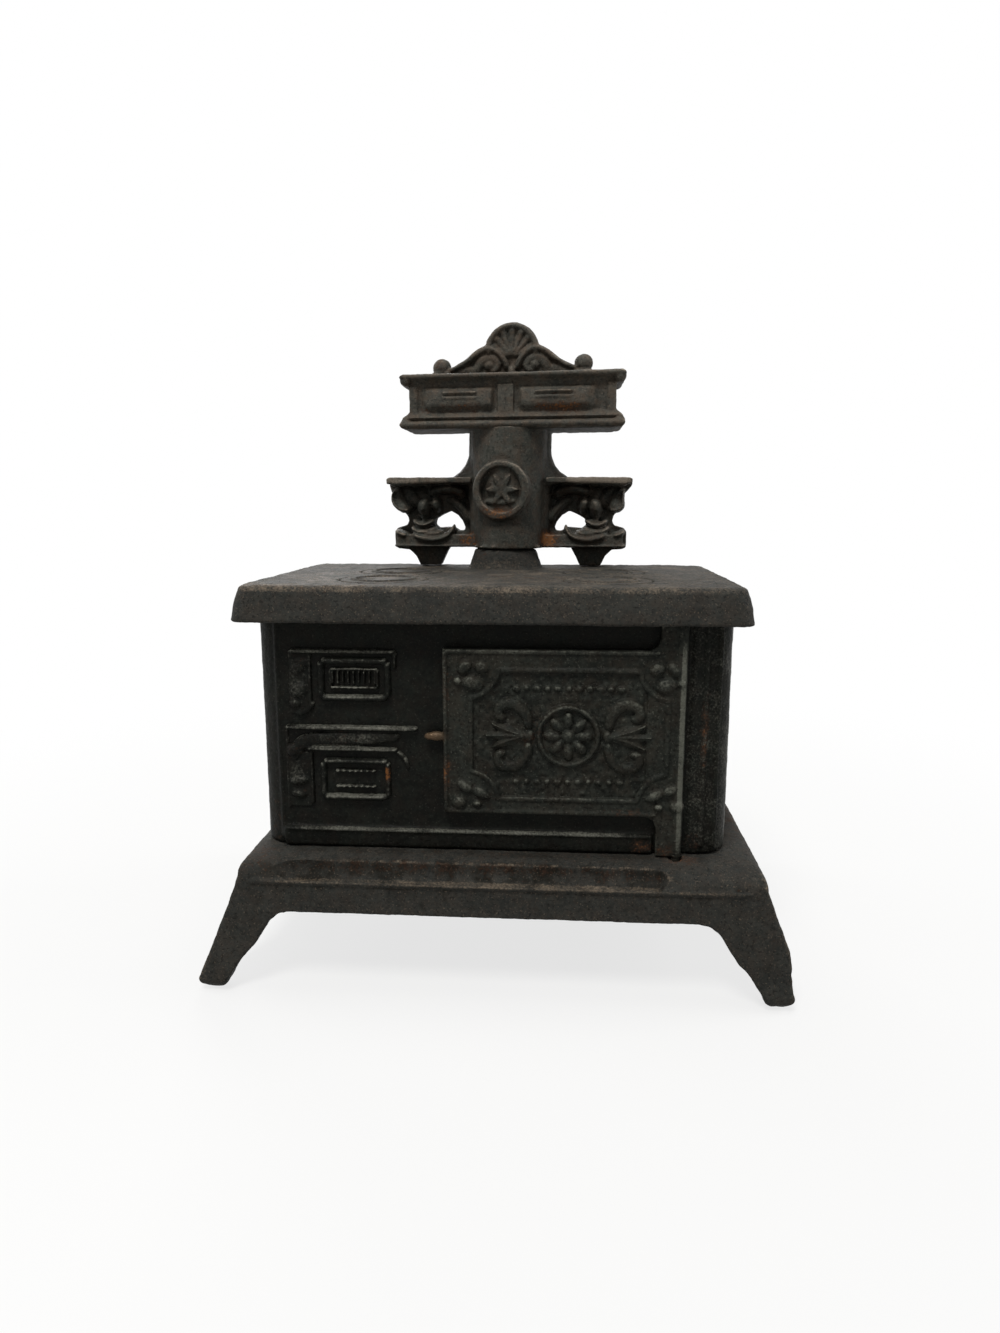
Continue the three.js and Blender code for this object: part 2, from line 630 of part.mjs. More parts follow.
// A bead that follows the door's field and turns inwards at the corners
function fieldOutline(inset) {
  const [left, right] = [FIELD_LEFT + inset, FIELD_RIGHT - inset];
  const [bottom, top] = [FIELD_BOTTOM_Z + inset, FIELD_TOP_Z - inset];
  const r = FIELD_CORNER;
  const shape = new THREE.Shape();
  shape.moveTo(left + r, bottom);
  shape.lineTo(right - r, bottom);
  shape.absarc(right, bottom, r, Math.PI, Math.PI / 2, true);
  shape.absarc(right, top, r, 3 * Math.PI / 2, Math.PI, true);
  shape.absarc(left, top, r, 2 * Math.PI, 3 * Math.PI / 2, true);
  shape.absarc(left, bottom, r, Math.PI / 2, 0, true);
  return shape;
}

function cornerLeaves(front, back) {
  const leaves = [];
  for (const [x, alongX] of [[FIELD_LEFT, 1], [FIELD_RIGHT, -1]]) {
    for (const [z, alongZ] of [[FIELD_BOTTOM_Z, 1], [FIELD_TOP_Z, -1]]) {
      for (const turn of [0, 1, 2]) {
        const angle = Math.atan2(-alongZ, -alongX) + turn * 2 * Math.PI / 3;
        const leafX = x + LEAF_SPREAD * (alongX / 2 + Math.cos(angle));
        const leafZ = z + LEAF_SPREAD * (alongZ / 2 + Math.sin(angle));
        const leaf = leafOutline(leafX, leafZ, 2 * LEAF_LENGTH, LEAF_WIDTH, angle);
        leaves.push(prismY(leaf, front, back, LEAF_STEPS));
      }
    }
  }
  return leaves;
}

function rosette(x, z, r, petals, front, back) {
  const parts = [boss(x, z, back, front, r / 3, r / 4, petals * 2)];
  for (let i = 0; i < petals; i += 1) {
    const angle = i * 2 * Math.PI / petals;
    const petal = leafOutline(x + r / 2 * Math.cos(angle), z + r / 2 * Math.sin(angle), r, r / 3, angle);
    parts.push(prismY(petal, front, back, PETAL_STEPS));
  }
  return parts;
}

function pearlRow(middleX, z, front, back) {
  const pearls = [];
  for (let i = 0; i < PEARLS; i += 1) {
    const x = middleX + (i - (PEARLS - 1) / 2) * PEARL_PITCH;
    pearls.push(boss(x, z, back, front, PEARL_R, PEARL_R / 2, PEARL_SIDES));
  }
  return pearls;
}

function doorOrnament(front, back) {
  const middleX = (FIELD_LEFT + FIELD_RIGHT) / 2;
  const middleZ = (FIELD_BOTTOM_Z + FIELD_TOP_Z) / 2;
  const bead = cut(prismY(fieldOutline(0), front, back, FIELD_STEPS),
    prismY(fieldOutline(FIELD_BAR), front - OVERRUN, back + OVERRUN, FIELD_STEPS));
  const sprigs = [-1, 1].map((hand) => {
    const sprig = leafOutline(middleX + hand * SPRIG_OFFSET, middleZ, SPRIG_LENGTH, SPRIG_WIDTH, 0);
    return prismY(sprig, front, back, SPRIG_STEPS);
  });
  return [
    bead,
    ...cornerLeaves(front, back),
    ...rosette(middleX, middleZ, ROSETTE_R, ROSETTE_PETALS, front, back),
    ...sprigs,
    ...pearlRow(middleX, middleZ + PEARL_ROW_OFFSET, front, back),
    ...pearlRow(middleX, middleZ - PEARL_ROW_OFFSET, front, back),
  ];
}

// The strip at the hinge edge with its two heels, which the pintles stand on
function doorHinge() {
  const heelTop = HEARTH_Z + HEEL_TOP;
  const left = HINGE_X - HEEL_WIDTH;
  const shape = new THREE.Shape();
  shape.moveTo(HINGE_X, WALL_Z);
  shape.lineTo(HINGE_X, heelTop);
  shape.lineTo(left, heelTop);
  shape.lineTo(left, DOOR_TOP_Z + HEEL_FILLET);
  shape.quadraticCurveTo(left, DOOR_TOP_Z, left - HEEL_FILLET, DOOR_TOP_Z);
  shape.lineTo(left - HEEL_FILLET, DOOR_BOTTOM_Z);
  shape.quadraticCurveTo(left, DOOR_BOTTOM_Z, left, DOOR_BOTTOM_Z - HEEL_FILLET);
  shape.lineTo(left, WALL_Z);
  return [
    prismY(shape, DOOR_FACE_Y - DOOR_RELIEF / 2, DOOR_BACK_Y, FIELD_STEPS),
    rod(HINGE_X, HINGE_Y, WALL_Z, heelTop, BARREL_R),
    rod(HINGE_X, HINGE_Y, HEARTH_Z - PINTLE_REACH, CEILING_Z + PINTLE_REACH - FIT, PINTLE_R),
  ];
}

function latchNub() {
  const nub = new THREE.CylinderGeometry(NUB_R / 2, NUB_R, NUB_LENGTH + ROOT, NUB_SIDES);
  nub.rotateZ(Math.PI / 2);
  nub.translate(DOOR_LEFT - (NUB_LENGTH - ROOT) / 2, DOOR_BACK_Y - NUB_R, HEARTH_Z + NUB_RISE);
  return solid(nub);
}

function ovenDoor() {
  const front = DOOR_FACE_Y - DOOR_RELIEF;
  const plate = block(DOOR_LEFT, HINGE_X, DOOR_FACE_Y, DOOR_BACK_Y, DOOR_BOTTOM_Z, DOOR_TOP_Z);
  const rim = frameBars({ left: DOOR_LEFT, right: HINGE_X, bottom: DOOR_BOTTOM, top: DOOR_TOP }, DOOR_RIM,
    DOOR_FACE_Y, DOOR_RELIEF);
  return join(plate, rim, doorHinge(), latchNub(), doorOrnament(front, DOOR_FACE_Y + ROOT));
}

// Shelf casting: pipe, brackets, closet and crest in one piece with a flat, hollow back

// The pipe's section grows with height: round in front and straight at the sides
function pipeBody(inset, bottom, top) {
  const r = PIPE_FOOT_R - inset;
  const back = SHELF_BACK_Y - PIPE_Y + (inset > 0 ? OVERRUN : 0);
  const shape = new THREE.Shape();
  shape.moveTo(r, back);
  shape.lineTo(-r, back);
  shape.absarc(0, 0, r, Math.PI, 2 * Math.PI);
  const geometry = new THREE.ExtrudeGeometry(shape, {
    depth: top - bottom, bevelEnabled: false, curveSegments: PIPE_STEPS,
  });
  const spot = geometry.attributes.position;
  for (let i = 0; i < spot.count; i += 1) {
    const rise = spot.getZ(i) / (CLOSET_Z - PIPE_Z);
    const grow = 1 + rise * PIPE_GROWTH / PIPE_FOOT_R;
    spot.setX(i, spot.getX(i) * grow);
    if (spot.getY(i) < 0) spot.setY(i, spot.getY(i) * grow);
  }
  geometry.translate(0, PIPE_Y, bottom);
  return solid(geometry);
}

function moulding(bottom) {
  const half = CLOSET_HALF_WIDTH + MOULDING_REACH;
  const bevel = MOULDING_HEIGHT / 2;
  const front = CLOSET_FRONT_Y - MOULDING_REACH;
  const halfDepth = (SHELF_BACK_Y - front) / 2 + bevel;
  const geometry = new THREE.ExtrudeGeometry(roundedRectangle(half - bevel, halfDepth - bevel, bevel / 2), {
    depth: bevel / 4,
    bevelEnabled: true,
    bevelThickness: (MOULDING_HEIGHT - bevel / 4) / 2,
    bevelSize: bevel,
    bevelSegments: MOULDING_STEPS,
    curveSegments: MOULDING_STEPS,
  });
  geometry.translate(0, front + halfDepth, bottom + (MOULDING_HEIGHT - bevel / 4) / 2);
  return solid(geometry);
}

function drawerFront(hand) {
  const [left, right] = [hand * DRAWER_INNER_X, hand * DRAWER_OUTER_X].sort((a, b) => a - b);
  const bottom = CLOSET_Z + MOULDING_HEIGHT + DRAWER_MARGIN;
  const top = CLOSET_TOP_Z - MOULDING_HEIGHT - DRAWER_MARGIN;
  const geometry = new THREE.ExtrudeGeometry(
    rectangle(left + DRAWER_BEVEL, right - DRAWER_BEVEL, bottom + DRAWER_BEVEL, top - DRAWER_BEVEL), {
      depth: ROOT,
      bevelEnabled: true,
      bevelThickness: DRAWER_PROUD,
      bevelSize: DRAWER_BEVEL,
      bevelSegments: DRAWER_STEPS,
    });
  geometry.applyMatrix4(STAND_IN_XZ);
  geometry.translate(0, CLOSET_FRONT_Y + ROOT, 0);
  const middleX = (left + right) / 2;
  const middleZ = (bottom + top) / 2;
  const face = CLOSET_FRONT_Y - DRAWER_PROUD;
  const pull = block(middleX - PULL_LENGTH / 2, middleX + PULL_LENGTH / 2, face - ROOT, face + ROOT,
    middleZ - PULL_HEIGHT / 2, middleZ + PULL_HEIGHT / 2);
  return [solid(geometry), pull];
}

function closet() {
  const halfX = CLOSET_HALF_WIDTH;
  const box = block(-halfX, halfX, CLOSET_FRONT_Y, SHELF_BACK_Y, CLOSET_Z + MOULDING_HEIGHT / 2,
    CLOSET_TOP_Z - MOULDING_HEIGHT / 2);
  const far = SHELF_BACK_Y + MOULDING_HEIGHT + MOULDING_REACH;
  const behind = block(-halfX - OVERRUN - MOULDING_REACH, halfX + OVERRUN + MOULDING_REACH, SHELF_BACK_Y, far,
    CLOSET_Z - OVERRUN, CLOSET_TOP_Z + OVERRUN);
  const mouldings = [moulding(CLOSET_Z), moulding(CLOSET_TOP_Z - MOULDING_HEIGHT)];
  const outer = join(box, mouldings, drawerFront(-1), drawerFront(1));
  const innerX = halfX - SHELF_WALL;
  const [low, high] = [CLOSET_Z + SHELF_WALL, CLOSET_TOP_Z - SHELF_WALL];
  const inner = block(-innerX, innerX, CLOSET_FRONT_Y + SHELF_WALL, SHELF_BACK_Y + OVERRUN, low, high);
  return { outer: cut(outer, behind), inner };
}

function crest() {
  const half = new THREE.Path();
  const topZ = CLOSET_TOP_Z + CREST_HEIGHT;
  const [firstAcross, firstUp] = CREST_SHOULDER_SHARES[0];
  const startUp = (firstUp - 1) * CREST_HEIGHT / CREST_SHELL_R + 1;
  const start = Math.asin(THREE.MathUtils.clamp(startUp, -1, 1));
  half.moveTo(0, topZ);
  half.absarc(0, topZ - CREST_SHELL_R, CREST_SHELL_R, Math.PI / 2, start, true);
  half.lineTo(CREST_HALF_WIDTH * firstAcross, CLOSET_TOP_Z + CREST_HEIGHT * firstUp);
  for (const [across, up] of CREST_SHOULDER_SHARES.slice(1)) {
    half.lineTo(CREST_HALF_WIDTH * across, CLOSET_TOP_Z + CREST_HEIGHT * up);
  }
  half.lineTo(0, CLOSET_TOP_Z + CREST_HEIGHT * CREST_SHOULDER_SHARES.at(-1)[1]);
  const front = SHELF_BACK_Y - CREST_THICK;
  const parts = [prismY(mirrored(half, CREST_STEPS), front, SHELF_BACK_Y)];
  for (const hand of [-1, 1]) {
    const ball = new THREE.SphereGeometry(FINIAL_R, FINIAL_SIDES, FINIAL_RINGS);
    const [, blockShare] = CREST_SHOULDER_SHARES.at(-2);
    ball.translate(hand * FINIAL_X, SHELF_BACK_Y - FINIAL_R,
      CLOSET_TOP_Z + CREST_HEIGHT * blockShare + FINIAL_R / 2);
    parts.push(solid(ball));
    parts.push(ring(hand * SCROLL_OFFSET, CLOSET_TOP_Z + CREST_HEIGHT * SCROLL_Z_SHARE, front + ROOT,
      front - SCROLL_PROUD, SCROLL_R, SCROLL_R / 3, SCROLL_SIDES));
  }
  return parts;
}

function bracket(hand) {
  const place = ([across, up]) => [hand * BRACKET_REACH * across, BRACKET_Z + BRACKET_HEIGHT * up];
  const front = SHELF_BACK_Y - BRACKET_THICK;
  const plate = prismY(outline(BRACKET_OUTLINE_SHARES.map(place)), front, SHELF_BACK_Y);
  const hole = prismY(outline(BRACKET_HOLE_SHARES.map(place)), front - OVERRUN, SHELF_BACK_Y + OVERRUN);
  const upperTop = BRACKET_Z + BRACKET_HEIGHT;
  const upperBottom = upperTop - UPPER_SHELF_THICK;
  const lowerBottom = BRACKET_Z + BRACKET_HEIGHT * LOWER_SHELF_Z_SHARE;
  const lowerTop = lowerBottom + BRACKET_HEIGHT * LOWER_SHELF_HEIGHT_SHARE;
  const shelf = (shares, depth, bottom, top) => {
    const [left, right] = shares.map((share) => hand * BRACKET_REACH * share).sort((a, b) => a - b);
    return block(left, right, SHELF_BACK_Y - depth, SHELF_BACK_Y, bottom, top);
  };
  return [
    cut(plate, hole),
    shelf(UPPER_SHELF_SHARES, UPPER_SHELF_DEPTH, upperBottom, upperTop),
    shelf(LOWER_SHELF_SHARES, LOWER_SHELF_DEPTH, lowerBottom, lowerTop),
  ];
}

function medallion() {
  const rise = (MEDAL_Z - PIPE_Z) / (CLOSET_Z - PIPE_Z);
  const faceY = PIPE_Y - PIPE_FOOT_R - rise * PIPE_GROWTH;
  const back = PIPE_Y - PIPE_FOOT_R / 2;
  const front = faceY - MEDAL_PROUD;
  return [
    ring(0, MEDAL_Z, back, front, MEDAL_R, MEDAL_BAR, MEDAL_STEPS),
    ...rosette(0, MEDAL_Z, MEDAL_R - 2 * MEDAL_BAR, MEDAL_PETALS, faceY - MEDAL_PROUD / 2, back),
  ];
}

function shelfCasting() {
  const flangeX = PIPE_HEAD_R + FLANGE_LIP;
  const pipeTop = CLOSET_Z + SHELF_WALL;
  const bracketTop = BRACKET_Z + BRACKET_HEIGHT;
  const flange = block(-flangeX, flangeX, SHELF_BACK_Y - SHELF_WALL, SHELF_BACK_Y, bracketTop, pipeTop);
  const { outer, inner } = closet();
  const head = join(outer, crest()).translate([CLOSET_SHIFT, 0, 0]);
  const whole = join(pipeBody(0, PIPE_Z, pipeTop), flange, head, bracket(-1), bracket(1), medallion());
  const pipeHollow = pipeBody(SHELF_WALL, PIPE_Z + PIPE_FOOT_FLOOR, pipeTop + OVERRUN);
  const bossTop = PIPE_Z + SCREW_BITE + OVERRUN;
  const screwBoss = rod(0, PIPE_Y, PIPE_Z, bossTop, SCREW_BOSS_R);
  const screwHole = rod(0, PIPE_Y, PIPE_Z - OVERRUN, bossTop + OVERRUN, SCREW_R + RUN);
  const body = cut(join(cut(whole, inner.translate([CLOSET_SHIFT, 0, 0]), pipeHollow), screwBoss), screwHole);
  return body.translate([SHELF_SHIFT, 0, 0]);
}

// Fasteners

function tieBolt() {
  const neck = PLATE_TOP_Z - BOLT_HEAD_DEPTH;
  const tail = HEARTH_UNDERSIDE_Z - FIT - NUT_THICK - BOLT_TAIL;
  const head = rod(0, BOLT_Y, neck, PLATE_TOP_Z, BOLT_R, BOLT_HEAD_R);
  const shank = rod(0, BOLT_Y, tail, neck + ROOT, BOLT_R);
  const slotX = BOLT_HEAD_R + OVERRUN;
  const [front, back] = [BOLT_Y - SLOT_WIDTH / 2, BOLT_Y + SLOT_WIDTH / 2];
  const slot = block(-slotX, slotX, front, back, PLATE_TOP_Z - SLOT_DEPTH, PLATE_TOP_Z + OVERRUN);
  return cut(join(head, shank), slot);
}

function tieNut() {
  const top = HEARTH_UNDERSIDE_Z - FIT;
  const half = NUT_SIDE / 2;
  return cut(block(-half, half, BOLT_Y - half, BOLT_Y + half, top - NUT_THICK, top),
    rod(0, BOLT_Y, top - NUT_THICK - OVERRUN, top + OVERRUN, BOLT_R + RUN));
}

function shelfScrew() {
  const top = CEILING_Z - FIT;
  const head = rod(SHELF_SHIFT, PIPE_Y, top - SCREW_HEAD_THICK, top, SCREW_HEAD_R * 2 / 3, SCREW_HEAD_R);
  const shank = rod(SHELF_SHIFT, PIPE_Y, top - ROOT, PIPE_Z + SCREW_BITE, SCREW_R);
  const slot = block(SHELF_SHIFT - SCREW_HEAD_R, SHELF_SHIFT + SCREW_HEAD_R, PIPE_Y - SLOT_WIDTH / 2,
    PIPE_Y + SLOT_WIDTH / 2, top - SCREW_HEAD_THICK - OVERRUN, top - SCREW_HEAD_THICK + SLOT_DEPTH);
  return cut(join(head, shank), slot);
}

// Finishes

const enamel = new THREE.MeshStandardMaterial({ color: 0x191b1a, roughness: 0.38, metalness: 0.6 });
const castIron = new THREE.MeshStandardMaterial({ color: 0x2b2826, roughness: 0.72, metalness: 0.6 });
const brownIron = new THREE.MeshStandardMaterial({ color: 0x332b27, roughness: 0.7, metalness: 0.6 });
const steel = new THREE.MeshStandardMaterial({ color: 0x5b4b40, roughness: 0.55, metalness: 0.85 });

// The whole stove

const stove = new THREE.Group();
stove.add(meshOf('base_casting', baseCasting(), castIron));
stove.add(meshOf('front_panel', frontPanel(), enamel));
stove.add(meshOf('left_side_panel', sidePanel(-1), enamel));
stove.add(meshOf('right_side_panel', sidePanel(1), enamel));
stove.add(meshOf('back_panel', backPanel(), enamel));
stove.add(meshOf('top_plate', topPlate(), castIron));
for (const [name, x, y] of lidSpots()) {
  stove.add(meshOf(name, lid(x, y), castIron));
}
stove.add(meshOf('oven_door', ovenDoor(), enamel));
stove.add(meshOf('shelf_casting', shelfCasting(), brownIron));
stove.add(meshOf('tie_bolt', tieBolt(), steel));
stove.add(meshOf('tie_nut', tieNut(), steel));
stove.add(meshOf('shelf_screw', shelfScrew(), steel));

export default stove;
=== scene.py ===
"""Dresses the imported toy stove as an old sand-cast iron toy.

Each casting starts as plain closed solids in millimetres. They are run together into one soft-edged
skin, the skin gets its wobble and its sand grain by moving its points, and it is handed over in metres in
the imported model's frame.
"""

import logging
import math
from dataclasses import dataclass
from enum import Enum
from typing import Callable, ClassVar, Iterable, Sequence

import bmesh
import bpy
import numpy as np
from mathutils import Matrix, Vector


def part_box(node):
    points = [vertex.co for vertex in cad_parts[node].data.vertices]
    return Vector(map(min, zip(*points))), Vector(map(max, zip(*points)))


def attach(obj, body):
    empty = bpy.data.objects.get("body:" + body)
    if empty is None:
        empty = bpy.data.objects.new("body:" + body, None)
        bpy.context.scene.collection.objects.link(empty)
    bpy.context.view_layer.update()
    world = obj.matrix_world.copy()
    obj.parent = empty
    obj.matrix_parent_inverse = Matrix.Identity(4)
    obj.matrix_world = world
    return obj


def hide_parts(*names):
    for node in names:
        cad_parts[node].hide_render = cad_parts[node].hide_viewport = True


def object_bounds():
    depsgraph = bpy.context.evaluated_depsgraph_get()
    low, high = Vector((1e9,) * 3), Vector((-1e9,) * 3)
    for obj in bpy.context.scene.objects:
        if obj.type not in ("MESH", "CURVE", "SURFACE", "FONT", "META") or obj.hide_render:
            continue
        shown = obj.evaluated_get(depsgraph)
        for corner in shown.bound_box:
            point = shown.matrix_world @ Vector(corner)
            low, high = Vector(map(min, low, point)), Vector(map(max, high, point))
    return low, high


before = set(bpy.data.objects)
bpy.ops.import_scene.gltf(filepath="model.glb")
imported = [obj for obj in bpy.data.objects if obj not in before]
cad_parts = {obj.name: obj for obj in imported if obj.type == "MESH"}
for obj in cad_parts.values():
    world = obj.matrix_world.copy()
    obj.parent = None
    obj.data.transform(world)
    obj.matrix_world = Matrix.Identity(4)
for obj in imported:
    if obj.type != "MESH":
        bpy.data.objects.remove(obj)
CAD_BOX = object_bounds()

LOG = logging.getLogger("stove")
MM = 0.001
Pair = tuple[float, float]
Triple = tuple[float, float, float]
Rows = Sequence[Sequence[float]]
SIDES = (-1, 1)

# Sizes in millimetres that all carved work shares
ROOT = 0.45  # how deep raised work is sunk into what carries it
BAND_STEP = 0.45  # how far apart the rings of a bar are
# Where the rings of a bar's rounded end lie, as shares of it
BAND_ENDS = np.array([0.0, 0.06, 0.2, 0.45, 1.0])
POLE = 0.15  # the angle in radians between an egg's end ring and its pole
# Shares along a leaf and of its width
LEAF = ((0.0, 0.4), (0.3, 0.92), (0.55, 1.0), (0.82, 0.62), (1.0, 0.14))
CUSHION = ((1.0, 0.0), (0.97, 0.42), (0.86, 0.78), (0.6, 0.95), (0.36, 1.0), (0.24, 0.86), (0.12, 0.4),
           (0.02, 0.0))

NOISE_CELLS = 48
NOISE_SHIFT = 0.37
WOBBLE_SIZE, SAND_SIZE, FINE_SIZE = 7.0, 1.3, 0.55
FINE_SHARE = 0.6
EDGE_REACH, HOLLOW_REACH = 0.55, 1.1
UNLIT_EDGE_SHARE = 0.3  # the share of its lightening, by rubbing and painted highlight, that an edge keeps where it faces down
# how much lighter raised work is painted, as painted highlight and rubbing, and the run in Y over which it
# gets there
PROUD_HIGHLIGHT, PROUD_RUN = 0.26, 0.6


class Body(Enum):
    """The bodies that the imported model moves."""

    ROOT = "root"
    DOOR = "door"
    LID_FRONT_LEFT = "lid_fl"
    LID_FRONT_RIGHT = "lid_fr"
    LID_BACK_LEFT = "lid_bl"
    LID_BACK_RIGHT = "lid_br"


class Slot(Enum):
    """The finishes that the record names."""

    BLACK = "iron_black"
    GREY = "iron_grey"
    BROWN = "iron_brown"
    STEEL = "steel_aged"


class Finish(Enum):
    """The finishes as they look, where the door's black has faded more than the walls'."""

    BLACK = "black_japanned_iron"
    FADED = "faded_black_iron"
    GREY = "grey_cast_iron"
    BROWN = "brown_cast_iron"
    UMBER = "umber_cast_iron"
    STEEL = "aged_steel"


# Closed solids in millimetres


@dataclass(frozen=True)
class Solid:
    """A closed shell in millimetres: its corners and the corner numbers of its faces."""

    points: np.ndarray
    faces: list[tuple[int, ...]]

    def moved(self, shift: Sequence[float]) -> "Solid":
        """Returns the solid moved by a shift in millimetres."""
        return Solid(self.points + np.asarray(shift, float), self.faces)

    def mirrored(self, middle_x: float) -> "Solid":
        """Returns the solid mirrored across the plane x = middle_x."""
        points = np.column_stack([2 * middle_x - self.points[:, 0], self.points[:, 1:]])
        return Solid(points, [face[::-1] for face in self.faces])


def rings_to_solid(rings: np.ndarray) -> Solid:
    """Joins rings of equal length into a closed shell with flat ends.

    Args:
        rings: Points in millimetres, shaped (rings, points on a ring, 3).

    Returns:
        The closed shell.
    """
    count, around = rings.shape[:2]
    faces: list[tuple[int, ...]] = []
    for low in range(0, (count - 1) * around, around):
        for i in range(around):
            j = (i + 1) % around
            faces.append((low + i, low + j, low + around + j, low + around + i))
    faces.append(tuple(range(around))[::-1])
    faces.append(tuple((count - 1) * around + i for i in range(around)))
    return Solid(rings.reshape(-1, 3), faces)


def block(low: Sequence[float], high: Sequence[float]) -> Solid:
    """Returns the box between two corners."""
    ring = [(low[0], low[1]), (high[0], low[1]), (high[0], high[1]), (low[0], high[1])]
    return rings_to_solid(np.array([[(x, y, z) for x, y in ring] for z in (low[2], high[2])], float))


def upright_prism(outline: Sequence[Pair], front: float, back: float) -> Solid:
    """Returns an outline in the XZ plane carried from front to back along Y."""
    return rings_to_solid(np.array([[(x, y, z) for x, z in outline] for y in (back, front)], float))


def turned(profile: Sequence[Pair], centre: Sequence[float], axis: str, sides: int = 28) -> Solid:
    """Turns a profile round an axis through a point.

    Args:
        profile: Radius and place along the axis of each ring, in millimetres.
        centre: The point that the places are measured from.
        axis: The axis that the solid is turned round: x, y or z.
        sides: How many points each ring has.

    Returns:
        The closed shell.
    """
    angles = np.linspace(0, 2 * math.pi, sides, endpoint=False)
    rings = []
    for radius, along in profile:
        across, up = radius * np.cos(angles), radius * np.sin(angles)
        run = np.full(sides, along)
        columns = {"x": (run, across, up), "y": (across, run, up), "z": (across, up, run)}[axis]
        rings.append(np.stack(columns, axis=1))
    return rings_to_solid(np.array(rings)).moved(centre)


def ball(centre: Sequence[float], radii: Sequence[float], turn: float = 0.0, rings: int = 9) -> Solid:
    """Models an egg-shaped solid.

    Args:
        centre: Its middle in millimetres.
        radii: Its half sizes along X, Y and Z before the turn.
        turn: The angle in radians that it is turned by in the XZ plane.
        rings: How many rings of points it has from end to end.

    Returns:
        The closed shell.
    """
    heights = np.cos(np.linspace(math.pi - POLE, POLE, rings))
    solid = turned([(math.sqrt(1 - h * h), h) for h in heights], (0, 0, 0), "z", 2 * rings)
    x, y, z = (solid.points * np.asarray(radii, float)).T
    c, s = math.cos(turn), math.sin(turn)
    return Solid(np.stack([x * c - z * s, y, x * s + z * c], axis=1), solid.faces).moved(centre)


def boss(x: float, z: float, face: float, radii: Sequence[float], turn: float = 0.0) -> Solid:
    """Models a rounded lump on an upright face.

    Args:
        x: The X of its middle.
        z: The Z of its middle.
        face: The Y of the face that it stands on.
        radii: Its half width, its height above the face and its half height along Z, before the turn.
        turn: The angle in radians that it is turned by in the XZ plane.

    Returns:
        The closed shell, sunk into the face by a little.
    """
    lump = ball((x, face, z), radii, turn)
    lump.points[:, 1] = np.minimum(lump.points[:, 1], face + ROOT)
    return lump


def eased_path(points: Rows, steps: int = 8) -> np.ndarray:
    """Draws a smooth curve through points.

    Args:
        points: The points, each with any number of values.
        steps: How many places the curve has from one point to the next.

    Returns:
        The values at every place on the curve.
    """
    knots = np.asarray(points, float)
    knots = np.vstack([2 * knots[0] - knots[1], knots, 2 * knots[-1] - knots[-2]])
    path = []
    for i in range(1, len(knots) - 2):
        a, b, c, d = knots[i - 1:i + 3]
        for t in np.linspace(0, 1, steps, endpoint=False):
            cubic = (3 * b - a - 3 * c + d) * t ** 3
            path.append(0.5 * (2 * b + (c - a) * t + (2 * a - 5 * b + 4 * c - d) * t * t + cubic))
    path.append(knots[-2])
    return np.array(path)


def band(path: Rows, face: float, sides: int = 14, eased_through: bool = True) -> Solid:
    """Rolls a rounded bar along a path on an upright face, as a modeller lays a string of wax.

    Args:
        path: X, Z, half width and height above the face at each point that the bar passes.
        face: The Y of the face.
        sides: How many points each ring has.
        eased_through: Whether the path is rounded off between its points.

    Returns:
        The closed shell, with both ends rounded off and its root sunk into the face.
    """
    line = eased_path(path) if eased_through else np.asarray(path, float)
    steps = np.linalg.norm(np.diff(line[:, :2], axis=0), axis=1)
    place = np.concatenate([[0], np.cumsum(steps)])
    length = place[-1]
    rounding = min(float(line[:, 2].max()), length / 2)
    near = rounding * BAND_ENDS
    middle = np.linspace(rounding, length - rounding, max(2, int(length / BAND_STEP)))[1:-1]
    stops = np.concatenate([near, middle, length - near[::-1]])
    line = np.stack([np.interp(stops, place, line[:, k]) for k in range(4)], axis=1)
    end = np.clip(np.minimum(stops, length - stops) / rounding, 0, 1)
    full = np.sqrt(np.clip(1 - (1 - end) ** 2, 0.02, 1))
    run = np.gradient(line[:, :2], stops + np.arange(len(stops)) * 1e-9, axis=0)
    run /= np.linalg.norm(run, axis=1, keepdims=True) + 1e-9
    angles = np.linspace(0, 2 * math.pi, sides, endpoint=False)
    rings = []
    for (x, z, half, rise), (run_x, run_z), share in zip(line, run, full):
        side = half * share * np.cos(angles)
        out = np.where(np.sin(angles) > 0, -rise * share * np.sin(angles), -ROOT * np.sin(angles))
        rings.append(np.stack([x - run_z * side, face + out, z + run_x * side], axis=1))
    return rings_to_solid(np.array(rings))


def bar(start: Pair, end: Pair, half: float, rise: float, face: float, bow: float = 0.0,
        thin: float = 1.0) -> Solid:
    """Lays a straight bar on an upright face.

    Args:
        start: X and Z of its first end.
        end: X and Z of its last end.
        half: Half its width.
        rise: How far it stands above the face.
        face: The Y of the face.
        bow: How far its middle bows upwards.
        thin: The share of its rise that is left at its middle.

    Returns:
        The closed shell.
    """
    middle = ((start[0] + end[0]) / 2, (start[1] + end[1]) / 2 + bow)
    return band([(*start, half, rise), (*middle, half, rise * thin), (*end, half, rise)], face)


def hoop(x: float, z: float, radii: Pair, half: float, rise: float, face: float) -> Solid:
    """Lays an oval ring on an upright face.

    Args:
        x: The X of its middle.
        z: The Z of its middle.
        radii: Half its width and half its height, to the middle of the bar.
        half: Half the bar's width.
        rise: How far it stands above the face.
        face: The Y of the face.

    Returns:
        The closed shell, whose two ends overlap.
    """
    angles = np.linspace(0, 2 * math.pi + 0.3, 60)
    path = [(x + radii[0] * math.cos(a), z + radii[1] * math.sin(a), half, rise) for a in angles]
    return band(path, face, eased_through=False)


